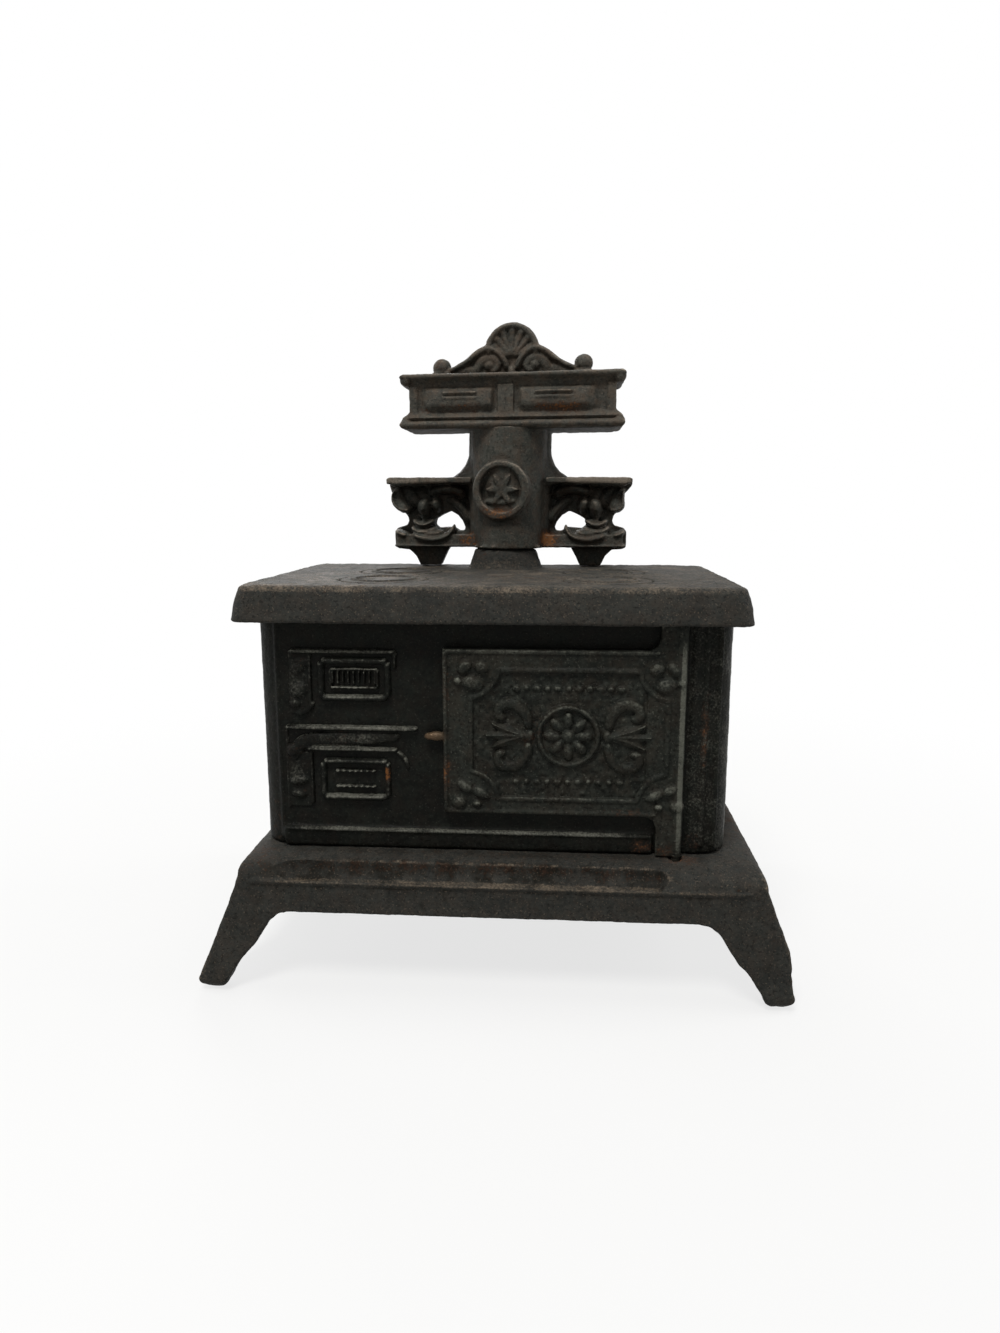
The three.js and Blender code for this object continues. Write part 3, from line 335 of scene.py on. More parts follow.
def leaf(root: Pair, tip: Pair, width: float, rise: float, face: float, bow: float = 0.0) -> list[Solid]:
    """Models one leaf with a raised middle rib.

    Args:
        root: X and Z where it starts.
        tip: X and Z where it ends in a point.
        width: Its full width at the widest.
        rise: How far it stands above the face.
        face: The Y of the face.
        bow: How far its middle bows sideways, in millimetres.

    Returns:
        The leaf's blade and its rib.
    """
    start, run = np.array(root, float), np.array(tip, float) - np.array(root, float)
    side = np.array([-run[1], run[0]]) / max(float(np.hypot(*run)), 1e-9)
    blade_rise, rib_width = rise * 0.72, width * 0.13
    blade, rib = [], []
    for along, share in LEAF:
        x, z = start + run * along + side * bow * 4 * along * (1 - along)
        blade.append((x, z, width / 2 * share, blade_rise))
        rib.append((x, z, rib_width, rise))
    return [band(blade, face), band(rib, face)]


def tray(rows: Sequence[Pair], x: float, half: float, front: float, back: float, wall: float) -> Solid:
    """Builds a wall round three sides, open at the back, whose reach changes with its height.

    Args:
        rows: The height and the reach beyond the plain wall, from the bottom up.
        x: The X of its middle.
        half: Half its width at no reach.
        front: The Y of its front at no reach.
        back: The Y of its open back.
        wall: The thickness of the wall at no reach.

    Returns:
        The closed shell.
    """
    inner = half - wall
    rings = []
    for z, reach in rows:
        outer, near = half + reach, front - reach
        plan = [(-outer, back), (-outer, near), (outer, near), (outer, back),
                (inner, back), (inner, front + wall), (-inner, front + wall), (-inner, back)]
        rings.append([(x + side, y, z) for side, y in plan])
    return rings_to_solid(np.array(rings, float))


def cushion(low: Pair, high: Pair, rise: float, slope: Pair, face: float) -> Solid:
    """Models a drawer front that swells out of an upright face and turns under at its lower edge.

    Args:
        low: X and Z of its lower left corner.
        high: X and Z of its upper right corner.
        rise: How far it stands above the face at its fullest.
        slope: How wide its left and right ends slope.
        face: The Y of the face.

    Returns:
        The closed shell.
    """
    tall = high[1] - low[1]
    ends = ((low[0], 0.06), (low[0] + 0.4 * slope[0], 0.55), (low[0] + slope[0], 1.0),
            (high[0] - slope[1], 1.0), (high[0] - 0.4 * slope[1], 0.55), (high[0], 0.06))
    rings = []
    for x, share in ends:
        ring = [(x, face - rise * share * out, low[1] + tall * up) for up, out in CUSHION]
        ring += [(x, face + ROOT, low[1] + CUSHION[-1][0] * tall), (x, face + ROOT, high[1])]
        rings.append(ring)
    return rings_to_solid(np.array(rings, float))


def sliced(solid: Solid, low: float, high: float) -> Solid:
    """Cuts a slice out of a solid.

    Args:
        solid: The solid.
        low: The height of the lower cut.
        high: The height of the upper cut.

    Returns:
        The part between the two heights, with its cuts closed.
    """
    mesh = bmesh.new()
    corners = [mesh.verts.new(point) for point in solid.points]
    for face in solid.faces:
        mesh.faces.new([corners[i] for i in face])
    for height, up in ((low, -1), (high, 1)):
        everything = mesh.verts[:] + mesh.edges[:] + mesh.faces[:]
        cut = bmesh.ops.bisect_plane(
            mesh, geom=everything, dist=1e-5, plane_co=(0, 0, height), plane_no=(0, 0, up), clear_outer=True,
        )
        rim = [item for item in cut["geom_cut"] if isinstance(item, bmesh.types.BMEdge)]
        if rim:
            bmesh.ops.triangle_fill(mesh, use_beauty=True, edges=rim, normal=(0, 0, up))
    mesh.verts.index_update()
    points = np.array([corner.co[:] for corner in mesh.verts])
    faces = [tuple(corner.index for corner in face.verts) for face in mesh.faces]
    mesh.free()
    return Solid(points, faces)


# Skins: what the solids become once they are run together


def put(name: str, data: bpy.types.ID) -> bpy.types.Object:
    """Puts a new object into the scene.

    Args:
        name: Its name.
        data: Its mesh, light or camera.

    Returns:
        The object.
    """
    thing = bpy.data.objects.new(name, data)
    bpy.context.scene.collection.objects.link(thing)
    return thing


def eased(share: np.ndarray) -> np.ndarray:
    """Returns a share, held between 0 and 1, that starts and stops softly."""
    held = np.clip(share, 0, 1)
    return held * held * (3 - 2 * held)


def fade(values: np.ndarray, start: float, run: float) -> np.ndarray:
    """Returns a share that leaves 0 at a start and is full after a run, which may lead down."""
    return eased((values - start) / run)


def lattice_noise(points: np.ndarray, size: float, seed: int) -> np.ndarray:
    """Works out smooth seeded noise.

    Args:
        points: Places in millimetres.
        size: The size of the noise's cells in millimetres.
        seed: The noise's seed.

    Returns:
        A value between -1 and 1 for each place.
    """
    lattice = np.random.default_rng(seed).uniform(-1, 1, (NOISE_CELLS,) * 3)
    place = points / size + seed * NOISE_SHIFT
    low = np.floor(place).astype(int)
    share = eased(place - low)
    total = np.zeros(len(points))
    for offset in np.ndindex(2, 2, 2):
        weight = np.prod(np.where(np.array(offset) == 1, share, 1 - share), axis=1)
        total += weight * lattice[tuple(((low + offset) % NOISE_CELLS).T)]
    return total


@dataclass
class Skin:
    """A closed skin of triangles in millimetres."""

    points: np.ndarray
    corners: np.ndarray

    @classmethod
    def over(cls, solids: Iterable[Solid], voxel: float) -> "Skin":
        """Runs closed solids together into one skin with soft inner corners.

        Args:
            solids: The closed shells.
            voxel: The size of a cell in millimetres.

        Returns:
            The skin of what they cover together.
        """
        shells = list(solids)
        starts = np.cumsum([0] + [len(shell.points) for shell in shells])
        faces = [tuple(i + int(start) for i in face) for shell, start in zip(shells, starts)
                 for face in shell.faces]
        mesh = bpy.data.meshes.new("blank")
        mesh.from_pydata(np.concatenate([shell.points for shell in shells]).tolist(), [], faces)
        blank = put("blank", mesh)
        remesh = blank.modifiers.new("skin", "REMESH")
        remesh.mode = "VOXEL"
        remesh.voxel_size = voxel
        return cls.taken_from(blank)

    @classmethod
    def taken_from(cls, blank: bpy.types.Object) -> "Skin":
        """Reads an object's mesh with its modifiers applied, and removes the object.

        Args:
            blank: The object, whose mesh is in millimetres.

        Returns:
            Its skin.
        """
        shown = blank.evaluated_get(bpy.context.evaluated_depsgraph_get())
        mesh = shown.to_mesh()
        mesh.calc_loop_triangles()
        points = np.empty(len(mesh.vertices) * 3)
        corners = np.empty(len(mesh.loop_triangles) * 3, np.int32)
        mesh.vertices.foreach_get("co", points)
        mesh.loop_triangles.foreach_get("vertices", corners)
        shown.to_mesh_clear()
        data = blank.data
        bpy.data.objects.remove(blank)
        bpy.data.meshes.remove(data)
        return cls(points.reshape(-1, 3), corners.reshape(-1, 3))

    def around(self, values: np.ndarray, passes: int) -> np.ndarray:
        """Averages values over each point's neighbours.

        Args:
            values: One or more values for each point.
            passes: How many times over.

        Returns:
            The averaged values.
        """
        a, b, c = self.corners.T
        start = np.concatenate([a, b, c, b, c, a])
        end = np.concatenate([b, c, a, a, b, c])
        count = np.maximum(np.bincount(start, minlength=len(self.points)), 1)
        columns = values.reshape(len(self.points), -1).copy()
        for _ in range(passes):
            for k in range(columns.shape[1]):
                near = np.bincount(start, weights=columns[end, k], minlength=len(columns)) / count
                columns[:, k] = (columns[:, k] + near) / 2
        return columns.reshape(values.shape)

    def normals(self) -> np.ndarray:
        """Works out which way the skin faces.

        Returns:
            Each point's outward direction.
        """
        a, b, c = (self.points[self.corners[:, k]] for k in range(3))
        across = np.cross(b - a, c - a)
        total = np.zeros_like(self.points)
        for k in range(3):
            for axis in range(3):
                total[:, axis] += np.bincount(self.corners[:, k], weights=across[:, axis],
                                              minlength=len(total))
        return total / (np.linalg.norm(total, axis=1, keepdims=True) + 1e-12)

    def soften(self, passes: int) -> None:
        """Rounds the skin's edges as sand and paint do."""
        self.points = self.around(self.points, passes)

    def grain(self, depth: float, size: float, seed: int) -> None:
        """Moves points in and out by seeded noise of a depth and a cell size in millimetres."""
        self.points = self.points + self.normals() * (depth * lattice_noise(self.points, size, seed))[:, None]

    def thinned(self, most: int) -> "Skin":
        """Takes triangles out where the skin is flattest.

        Args:
            most: How many triangles it may have.

        Returns:
            The thinner skin, or the same one if it has few enough.
        """
        if len(self.corners) <= most:
            return self
        blank = put("blank", self.mesh("blank", 1.0))
        blank.modifiers.new("thin", "DECIMATE").ratio = most / len(self.corners)
        return Skin.taken_from(blank)

    def convexity(self, passes: int) -> np.ndarray:
        """Returns how far each point stands out of its surroundings, in millimetres."""
        spread = self.around(self.points, max(passes, 1))
        return np.einsum("ij,ij->i", self.points - spread, self.normals())

    def mesh(self, name: str, scale: float) -> bpy.types.Mesh:
        """Makes a smooth-shaded mesh.

        Args:
            name: The mesh's name.
            scale: The mesh's units in a millimetre.

        Returns:
            The mesh.
        """
        mesh = bpy.data.meshes.new(name)
        mesh.vertices.add(len(self.points))
        mesh.vertices.foreach_set("co", (self.points * scale).ravel())
        mesh.loops.add(len(self.corners) * 3)
        mesh.loops.foreach_set("vertex_index", self.corners.ravel())
        mesh.polygons.add(len(self.corners))
        mesh.polygons.foreach_set("loop_start", np.arange(len(self.corners), dtype=np.int32) * 3)
        mesh.polygons.foreach_set("use_smooth", np.ones(len(self.corners), bool))
        mesh.update(calc_edges=True)
        return mesh


# Shader nodes


class Value:
    """A value in a shader tree, which is added, subtracted and multiplied as a number is."""

    def __init__(self, bench: "Bench", socket: bpy.types.NodeSocket) -> None:
        """Takes the bench that the value is made on and the socket that it comes from."""
        self.bench, self.socket = bench, socket

    def __add__(self, other: object) -> "Value":
        """Returns the sum."""
        return self.bench.math("ADD", self, other)

    def __radd__(self, other: object) -> "Value":
        """Returns the sum with the value as its second part."""
        return self.bench.math("ADD", other, self)

    def __sub__(self, other: object) -> "Value":
        """Returns the difference."""
        return self.bench.math("SUBTRACT", self, other)

    def __mul__(self, other: object) -> "Value":
        """Returns the product."""
        return self.bench.math("MULTIPLY", self, other)


class Bench:
    """Places and joins shader nodes in one tree."""

    MIX_FIRST, MIX_SECOND, MIX_RESULT = 6, 7, 2  # the colour sockets of a Mix node

    def __init__(self, tree: bpy.types.NodeTree) -> None:
        """Takes the tree to work in."""
        self.tree = tree

    @classmethod
    def emptied(cls, owner: bpy.types.ID) -> "Bench":
        """Clears the nodes of a material or a world.

        Args:
            owner: The material or world.

        Returns:
            The bench for its tree.
        """
        owner.use_nodes = True
        owner.node_tree.nodes.clear()
        return cls(owner.node_tree)

    def add(self, kind: str, inputs: dict[str | int, object] | None = None,
            **settings: object) -> bpy.types.Node:
        """Adds a node.

        Args:
            kind: The kind of node.
            inputs: What its inputs are fed: a value, a node's first output, a number or a colour.
            **settings: The node's properties.

        Returns:
            The node.
        """
        node = self.tree.nodes.new(kind)
        for name, value in settings.items():
            setattr(node, name, value)
        for key, source in (inputs or {}).items():
            target = node.inputs[key]
            if isinstance(source, Value):
                self.tree.links.new(source.socket, target)
            elif isinstance(source, bpy.types.Node):
                self.tree.links.new(source.outputs[0], target)
            elif target.type == "RGBA":
                target.default_value = (*source, 1.0)
            else:
                target.default_value = source
        return node

    def math(self, operation: str, first: object, second: object = 0.0, clamp: bool = False) -> Value:
        """Returns the result of a Math node."""
        node = self.add("ShaderNodeMath", {0: first, 1: second}, operation=operation, use_clamp=clamp)
        return Value(self, node.outputs[0])

    def ramp(self, value: Value, low: float, high: float, out_low: float = 0.0,
             out_high: float = 1.0) -> Value:
        """Returns a value eased from one range to another and held at its ends."""
        inputs = {"Value": value, "From Min": low, "From Max": high, "To Min": out_low, "To Max": out_high}
        return Value(self, self.add("ShaderNodeMapRange", inputs, interpolation_type="SMOOTHSTEP").outputs[0])

    def blend(self, share: object, first: object, second: object) -> Value:
        """Returns two colours mixed by a share."""
        inputs = {0: share, self.MIX_FIRST: first, self.MIX_SECOND: second}
        return Value(self, self.add("ShaderNodeMix", inputs, data_type="RGBA").outputs[self.MIX_RESULT])

    def noise(self, place: object, scale: object, detail: float = 2.0, rough: float = 0.5) -> Value:
        """Returns the value of a Noise Texture."""
        inputs = {"Vector": place, "Scale": scale, "Detail": detail, "Roughness": rough}
        return Value(self, self.add("ShaderNodeTexNoise", inputs).outputs[0])

    def place(self) -> Value:
        """Returns the place on the piece in its own coordinates."""
        return Value(self, self.add("ShaderNodeTexCoord").outputs["Object"])

    def measured(self, name: str) -> Value:
        """Returns the value that a piece carries at its points under a name."""
        return Value(self, self.add("ShaderNodeAttribute", attribute_name=name).outputs["Fac"])

    def grouped(self, group: bpy.types.NodeTree, **values: object) -> dict[str, Value]:
        """Adds a shared group, which is fed values by name, and returns what it puts out by name."""
        outputs = self.add("ShaderNodeGroup", values, node_tree=group).outputs
        return {socket.name: Value(self, socket) for socket in outputs}


FLOAT, VECTOR, COLOUR = "NodeSocketFloat", "NodeSocketVector", "NodeSocketColor"


@dataclass(frozen=True)
class Effect:
    """A shader node group that several finishes share. Its recipe takes its bench and its inputs in order."""

    name: str
    inputs: dict[str, str]
    outputs: dict[str, str]
    recipe: Callable[..., dict[str, Value]]

    def made(self) -> bpy.types.NodeTree:
        """Builds the group.

        Returns:
            Its tree.
        """
        tree = bpy.data.node_groups.new(self.name, "ShaderNodeTree")
        for way, sockets in (("INPUT", self.inputs), ("OUTPUT", self.outputs)):
            for name, kind in sockets.items():
                tree.interface.new_socket(name=name, in_out=way, socket_type=kind)
        bench = Bench(tree)
        given = bench.add("NodeGroupInput").outputs
        bench.add("NodeGroupOutput", self.recipe(bench, *(Value(bench, given[name]) for name in self.inputs)))
        return tree


def tone(red: float, green: float, blue: float) -> Triple:
    """Returns the linear colour of a tone written in the 0 to 255 of a paint chart."""
    shares = (level / 255 for level in (red, green, blue))
    return tuple(share / 12.92 if share <= 0.04045 else ((share + 0.055) / 1.055) ** 2.4 for share in shares)


RUST_DARK, RUST_BRIGHT = tone(58, 42, 33), tone(112, 72, 40)
PIT_TONE, BARE_TONE = tone(8, 7, 6), tone(84, 68, 52)
WARMTH_SHIFT = (0.31, 0.17, 0.23)  # in metres, so that warmth and drift don't fall together


def cast_grain(bench: Bench, place: Value, grains: Value) -> dict[str, Value]:
    """Works out the grain of a sand mould.

    Args:
        bench: The group's bench.
        place: The place on the piece.
        grains: How fine the grain is.

    Returns:
        Its height, its slow drift of tone and of warmth, its pits and its bright grains.
    """
    coarse = bench.noise(place, grains * 0.6, 2.0, 0.6)
    fine = bench.noise(place, grains * 1.7, 2.0, 0.6)
    slow = bench.noise(place, grains * 0.09, 3.0, 0.6)
    pit = bench.ramp(bench.noise(place, grains * 0.9, 1.0), 0.42, 0.3)
    speck = bench.ramp(bench.noise(place, grains * 1.3, 1.0, 0.7), 0.62, 0.74)
    away = bench.add("ShaderNodeVectorMath", {0: place, 1: WARMTH_SHIFT}, operation="ADD")
    return {
        "Height": coarse * 0.55 + fine * 0.35 - pit * 0.3 + speck * 0.12,
        "Drift": bench.ramp(slow * 0.5 + coarse * 0.5, 0.38, 0.62),
        "Warmth": bench.ramp(bench.noise(away, grains * 0.16, 4.0, 0.7), 0.4, 0.64),
        "Pit": pit,
        "Speck": speck,
    }


def edge_wear_and_highlight(bench: Bench, edge: Value, place: Value, amount: Value) -> dict[str, Value]:
    """Works out where edges are lightened, by handling that rubs them bright and by painted highlights.

    Args:
        bench: The group's bench.
        edge: How sharp the piece's edge is, raised where it faces up as a painted highlight and at the placed
            spots.
        place: The place on the piece.
        amount: The most that an edge is lightened.

    Returns:
        The mask of lightened edges, partly rubbing and partly painted highlight.
    """
    broken, slow = bench.noise(place, 2300.0, 3.0, 0.7) - 0.5, bench.noise(place, 160.0, 2.0, 0.6) - 0.5
    mask = bench.ramp(edge + (broken * 1.1 + slow * 0.7), 0.28, 0.95)
    return {"Mask": bench.math("MULTIPLY", mask, amount, clamp=True)}


def rust_patches(bench: Bench, spot: Value, hollow: Value, place: Value, spread: Value) -> dict[str, Value]:
    """Works out rust that is thick where it is placed and thin elsewhere.

    Args:
        bench: The group's bench.
        spot: How much rust is placed.
        hollow: How deep the piece's hollow is.
        place: The place on the piece.
        spread: How much thin rust lies everywhere.

    Returns:
        The mask and the colour of the rust.
    """
    patchy, grainy = bench.noise(place, 520.0, 5.0, 0.75) - 0.5, bench.noise(place, 1900.0, 2.0, 0.6) - 0.5
    placed = bench.ramp((spot + hollow * 0.2) + (patchy * 1.8 + grainy * 1.3), 0.3, 1.05)
    thin = bench.ramp(patchy + grainy * 0.5, 0.06, 0.3) * spread
    bright = bench.ramp(placed * spot + grainy, 0.45, 1.1)
    return {
        "Mask": bench.math("MAXIMUM", placed * 0.8, thin),
        "Colour": bench.blend(bright, RUST_DARK, RUST_BRIGHT),
    }


def dust_and_shade_film(bench: Bench, hollow: Value, place: Value, amount: Value) -> dict[str, Value]:
    """Works out the darkening in the hollows: dirt, and painted shade in recesses and at the placed shaded
    spots.

    Args:
        bench: The group's bench.
        hollow: How deep the piece's hollow is, raised to the strength of any placed spot of painted shade.
        place: The place on the piece.
        amount: The most that a hollow is darkened.

    Returns:
        The mask of the dirt and painted shade.
    """
    darkened = hollow * bench.ramp(bench.noise(place, 260.0, 4.0, 0.65), 0.35, 0.7)
    return {"Mask": bench.math("MULTIPLY", darkened, amount, clamp=True)}


class Effects:
    """The shared shader groups, each built once."""

    def __init__(self) -> None:
        """Builds the groups."""
        grain = dict.fromkeys(("Height", "Drift", "Warmth", "Pit", "Speck"), FLOAT)
        self.grain = Effect("cast_grain", {"Place": VECTOR, "Grains": FLOAT}, grain, cast_grain).made()
        self.wear_and_highlight = Effect(
            "edge_wear_and_highlight", {"Edge": FLOAT, "Place": VECTOR, "Amount": FLOAT}, {"Mask": FLOAT}, edge_wear_and_highlight,
        ).made()
        self.rust = Effect(
            "rust_patches", {"Spot": FLOAT, "Hollow": FLOAT, "Place": VECTOR, "Spread": FLOAT},
            {"Mask": FLOAT, "Colour": COLOUR}, rust_patches,
        ).made()
        self.dust_and_shade = Effect(
            "dust_and_shade_film", {"Hollow": FLOAT, "Place": VECTOR, "Amount": FLOAT}, {"Mask": FLOAT}, dust_and_shade_film,
        ).made()


@dataclass(frozen=True)
class IronFinish:
    """Old painted or bare cast iron, with its tones in the 0 to 255 of a paint chart."""

    slot: Slot
    ground: Triple
    drift: Triple
    warm: Triple
    # the tone of rubbing and bright grains, which also serves as the painted highlight on edges
    rubbed_and_highlight: Triple
    # the tone of dirt and painted shade in the hollows
    dust_and_shade: Triple
    pits: float = 0.4
    specks: float = 0.3
    warmth: float = 0.5
    rough: float = 0.66
    metal: float = 0.0
    shine: float = 0.12
    grains: float = 2400.0
    relief: float = 0.14
    # the most that an edge is lightened, by rubbing and painted highlight
    wear_and_highlight: float = 0.75
    rust: float = 0.2
    # the most that a hollow is darkened, by dirt and painted shade
    hollow_darkening: float = 0.8

    def made(self, name: str, effects: Effects) -> bpy.types.Material:
        """Builds the material.

        Args:
            name: Its name.
            effects: The shared shader groups.

        Returns:
            The material, ready to be put on a piece.
        """
        material = bpy.data.materials.new(name)
        bench = Bench.emptied(material)
        place = bench.place()
        edge, hollow, spot, bare = map(bench.measured, ("edge", "hollow", "rust", "bare"))
        grain = bench.grouped(effects.grain, Place=place, Grains=self.grains)
        # lightened edges: rubbing, with painted highlights on edges that face up and at placed lips
        wear_and_highlight = bench.grouped(effects.wear_and_highlight, Edge=edge, Place=place, Amount=self.wear_and_highlight)["Mask"]
        rust = bench.grouped(effects.rust, Spot=spot, Hollow=hollow, Place=place, Spread=self.rust)
        # darkened hollows: dirt, with painted shade in recesses and under overhangs
        dust_and_shade = bench.grouped(effects.dust_and_shade, Hollow=hollow, Place=place, Amount=self.hollow_darkening)["Mask"]
        rubbed_and_highlight = tone(*self.rubbed_and_highlight)
        colour = bench.blend(grain["Drift"], tone(*self.ground), tone(*self.drift))
        for share, over in (
            (grain["Warmth"] * self.warmth, tone(*self.warm)), (grain["Pit"] * self.pits, PIT_TONE),
            (dust_and_shade, tone(*self.dust_and_shade)), (rust["Mask"], rust["Colour"]), (wear_and_highlight, rubbed_and_highlight),
            (grain["Speck"] * self.specks, rubbed_and_highlight), (bare, BARE_TONE),
        ):
            colour = bench.blend(share, colour, over)
        rough = self.rough + (grain["Drift"] - 0.5) * 0.14 - wear_and_highlight * 0.12 + rust["Mask"] * 0.25
        metal = bench.math("SUBTRACT", self.metal + wear_and_highlight * 0.15, rust["Mask"] * 0.5, clamp=True)
        shader = bench.add("ShaderNodeBsdfPrincipled", {
            "Base Color": colour,
            "Roughness": bench.math("SUBTRACT", rough, bare * 0.25, clamp=True),
            "Metallic": bench.math("MAXIMUM", metal, bare * 0.5),
            "Normal": bench.add(
                "ShaderNodeBump", {"Strength": 1.0, "Distance": self.relief * MM, "Height": grain["Height"]},
            ),
            "Specular IOR Level": self.shine,
        })
        bench.add("ShaderNodeOutputMaterial", {"Surface": shader})
        return material


FINISHES = {
    Finish.BLACK: IronFinish(
        Slot.BLACK, ground=(13, 14, 12), drift=(23, 25, 22), warm=(30, 25, 21), rubbed_and_highlight=(102, 102, 94),
        dust_and_shade=(8, 8, 6),
        specks=0.14, warmth=0.3, rough=0.5, shine=0.05, grains=1900.0, relief=0.12, wear_and_highlight=0.8, rust=0.05,
        hollow_darkening=0.7,
    ),
    Finish.FADED: IronFinish(
        Slot.BLACK, ground=(22, 24, 21), drift=(40, 42, 38), warm=(46, 38, 31), rubbed_and_highlight=(92, 93, 85),
        dust_and_shade=(10, 11, 8),
        pits=0.6, warmth=0.3, rough=0.55, shine=0.06, grains=1900.0, relief=0.16, wear_and_highlight=0.8, rust=0.07,
        hollow_darkening=0.9,
    ),
    Finish.GREY: IronFinish(
        Slot.GREY, ground=(33, 34, 32), drift=(48, 48, 45), warm=(52, 45, 39), rubbed_and_highlight=(119, 106, 91),
        dust_and_shade=(18, 17, 13), pits=0.5, warmth=0.35, rough=0.75, shine=0.1, grains=2300.0, relief=0.18, rust=0.1,
        hollow_darkening=1.35,
    ),
    Finish.BROWN: IronFinish(
        Slot.BROWN, ground=(45, 47, 43), drift=(66, 66, 61), warm=(72, 59, 49), rubbed_and_highlight=(124, 114, 102),
        dust_and_shade=(18, 18, 14), warmth=0.45, wear_and_highlight=0.7, rust=0.16, hollow_darkening=0.75,
    ),
    Finish.UMBER: IronFinish(
        Slot.BROWN, ground=(50, 50, 46), drift=(71, 69, 63), warm=(80, 66, 54), rubbed_and_highlight=(126, 116, 103),
        dust_and_shade=(24, 22, 17),
    ),
    Finish.STEEL: IronFinish(
        Slot.STEEL, ground=(40, 38, 34), drift=(54, 50, 45), warm=(58, 46, 36), rubbed_and_highlight=(98, 92, 83),
        dust_and_shade=(36, 27, 20), rough=0.62, metal=0.15, shine=0.15, grains=2600.0, relief=0.06, wear_and_highlight=0.4, rust=0.4,
        hollow_darkening=0.4,
    ),
}


# Castings


@dataclass(frozen=True)
class Spot:
    """A place where rust, rubbing, dirt, bare metal, a painted highlight or painted shade shows, in
    millimetres.

    A higher power makes it squarer, and a higher steepness keeps it full nearer to its reach.
    """

    middle: Triple
    reach: Triple
    strength: float = 1.0
    power: float = 2.0
    steepness: float = 1.0

    def over(self, points: np.ndarray) -> np.ndarray:
        """Works out the spot's strength, which fades to nothing at its reach.

        Args:
            points: Places in millimetres.

        Returns:
            The strength at each place.
        """
        share = np.abs((points - self.middle) / self.reach)
        away = (share ** self.power).sum(axis=1) ** (1 / self.power)
        near = np.clip((1 - away) * self.steepness, 0, 1)
        return self.strength * near * (2 - near)


Spots = tuple[Spot, ...]


def streak(middle: Triple, reach: Triple, strength: float) -> Spot:
    """Returns a spot shaped like a line or a rectangle, of one strength almost up to its reach."""
    return Spot(middle, reach, strength, 8.0, 4.0)


def round_corner(skin: Skin, middle_x: float, reach: float, edge_z: float, radius: float) -> None:
    """Rounds the two outer corners of a level slab.

    Args:
        skin: The skin that the slab is part of.
        middle_x: The slab's middle.
        reach: How far its ends are from its middle.
        edge_z: The height of its outermost level edge.
        radius: The radius of the corners, less than 0 where the edge is the slab's lower one.
    """
    x, _, z = skin.points.T.copy()
    bend, way = abs(radius), math.copysign(1.0, radius)
    out = np.abs(x - middle_x) - (reach - bend)
    up = (z - edge_z) * way + bend
    away = np.hypot(out, up) + 1e-9
    corner = (out > 0) & (up > 0) & (up < 2 * bend) & (away > bend)
    pull = np.where(corner, 1 - bend / away, 0.0)
    skin.points[:, 0] = x - np.sign(x - middle_x) * out * pull
    skin.points[:, 2] = z - way * up * pull


def node_box(node: str) -> tuple[np.ndarray, np.ndarray]:
    """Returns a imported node's lowest and highest corners in millimetres."""
    low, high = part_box(node)
    return np.array(low) / MM, np.array(high) / MM


def node_solid(node: str) -> Solid:
    """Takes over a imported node's mesh.

    Args:
        node: The node's name.

    Returns:
        The closed solid in millimetres, with its split corners joined.
    """
    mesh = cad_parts[node].data
    points = np.empty(len(mesh.vertices) * 3)
    mesh.vertices.foreach_get("co", points)
    single, number = np.unique(np.round(points.reshape(-1, 3) / MM, 4), axis=0, return_inverse=True)
    corners = number.ravel().tolist()
    faces = [tuple(corners[i] for i in polygon.vertices) for polygon in mesh.polygons]
    return Solid(single, [face for face in faces if len(set(face)) == len(face)])


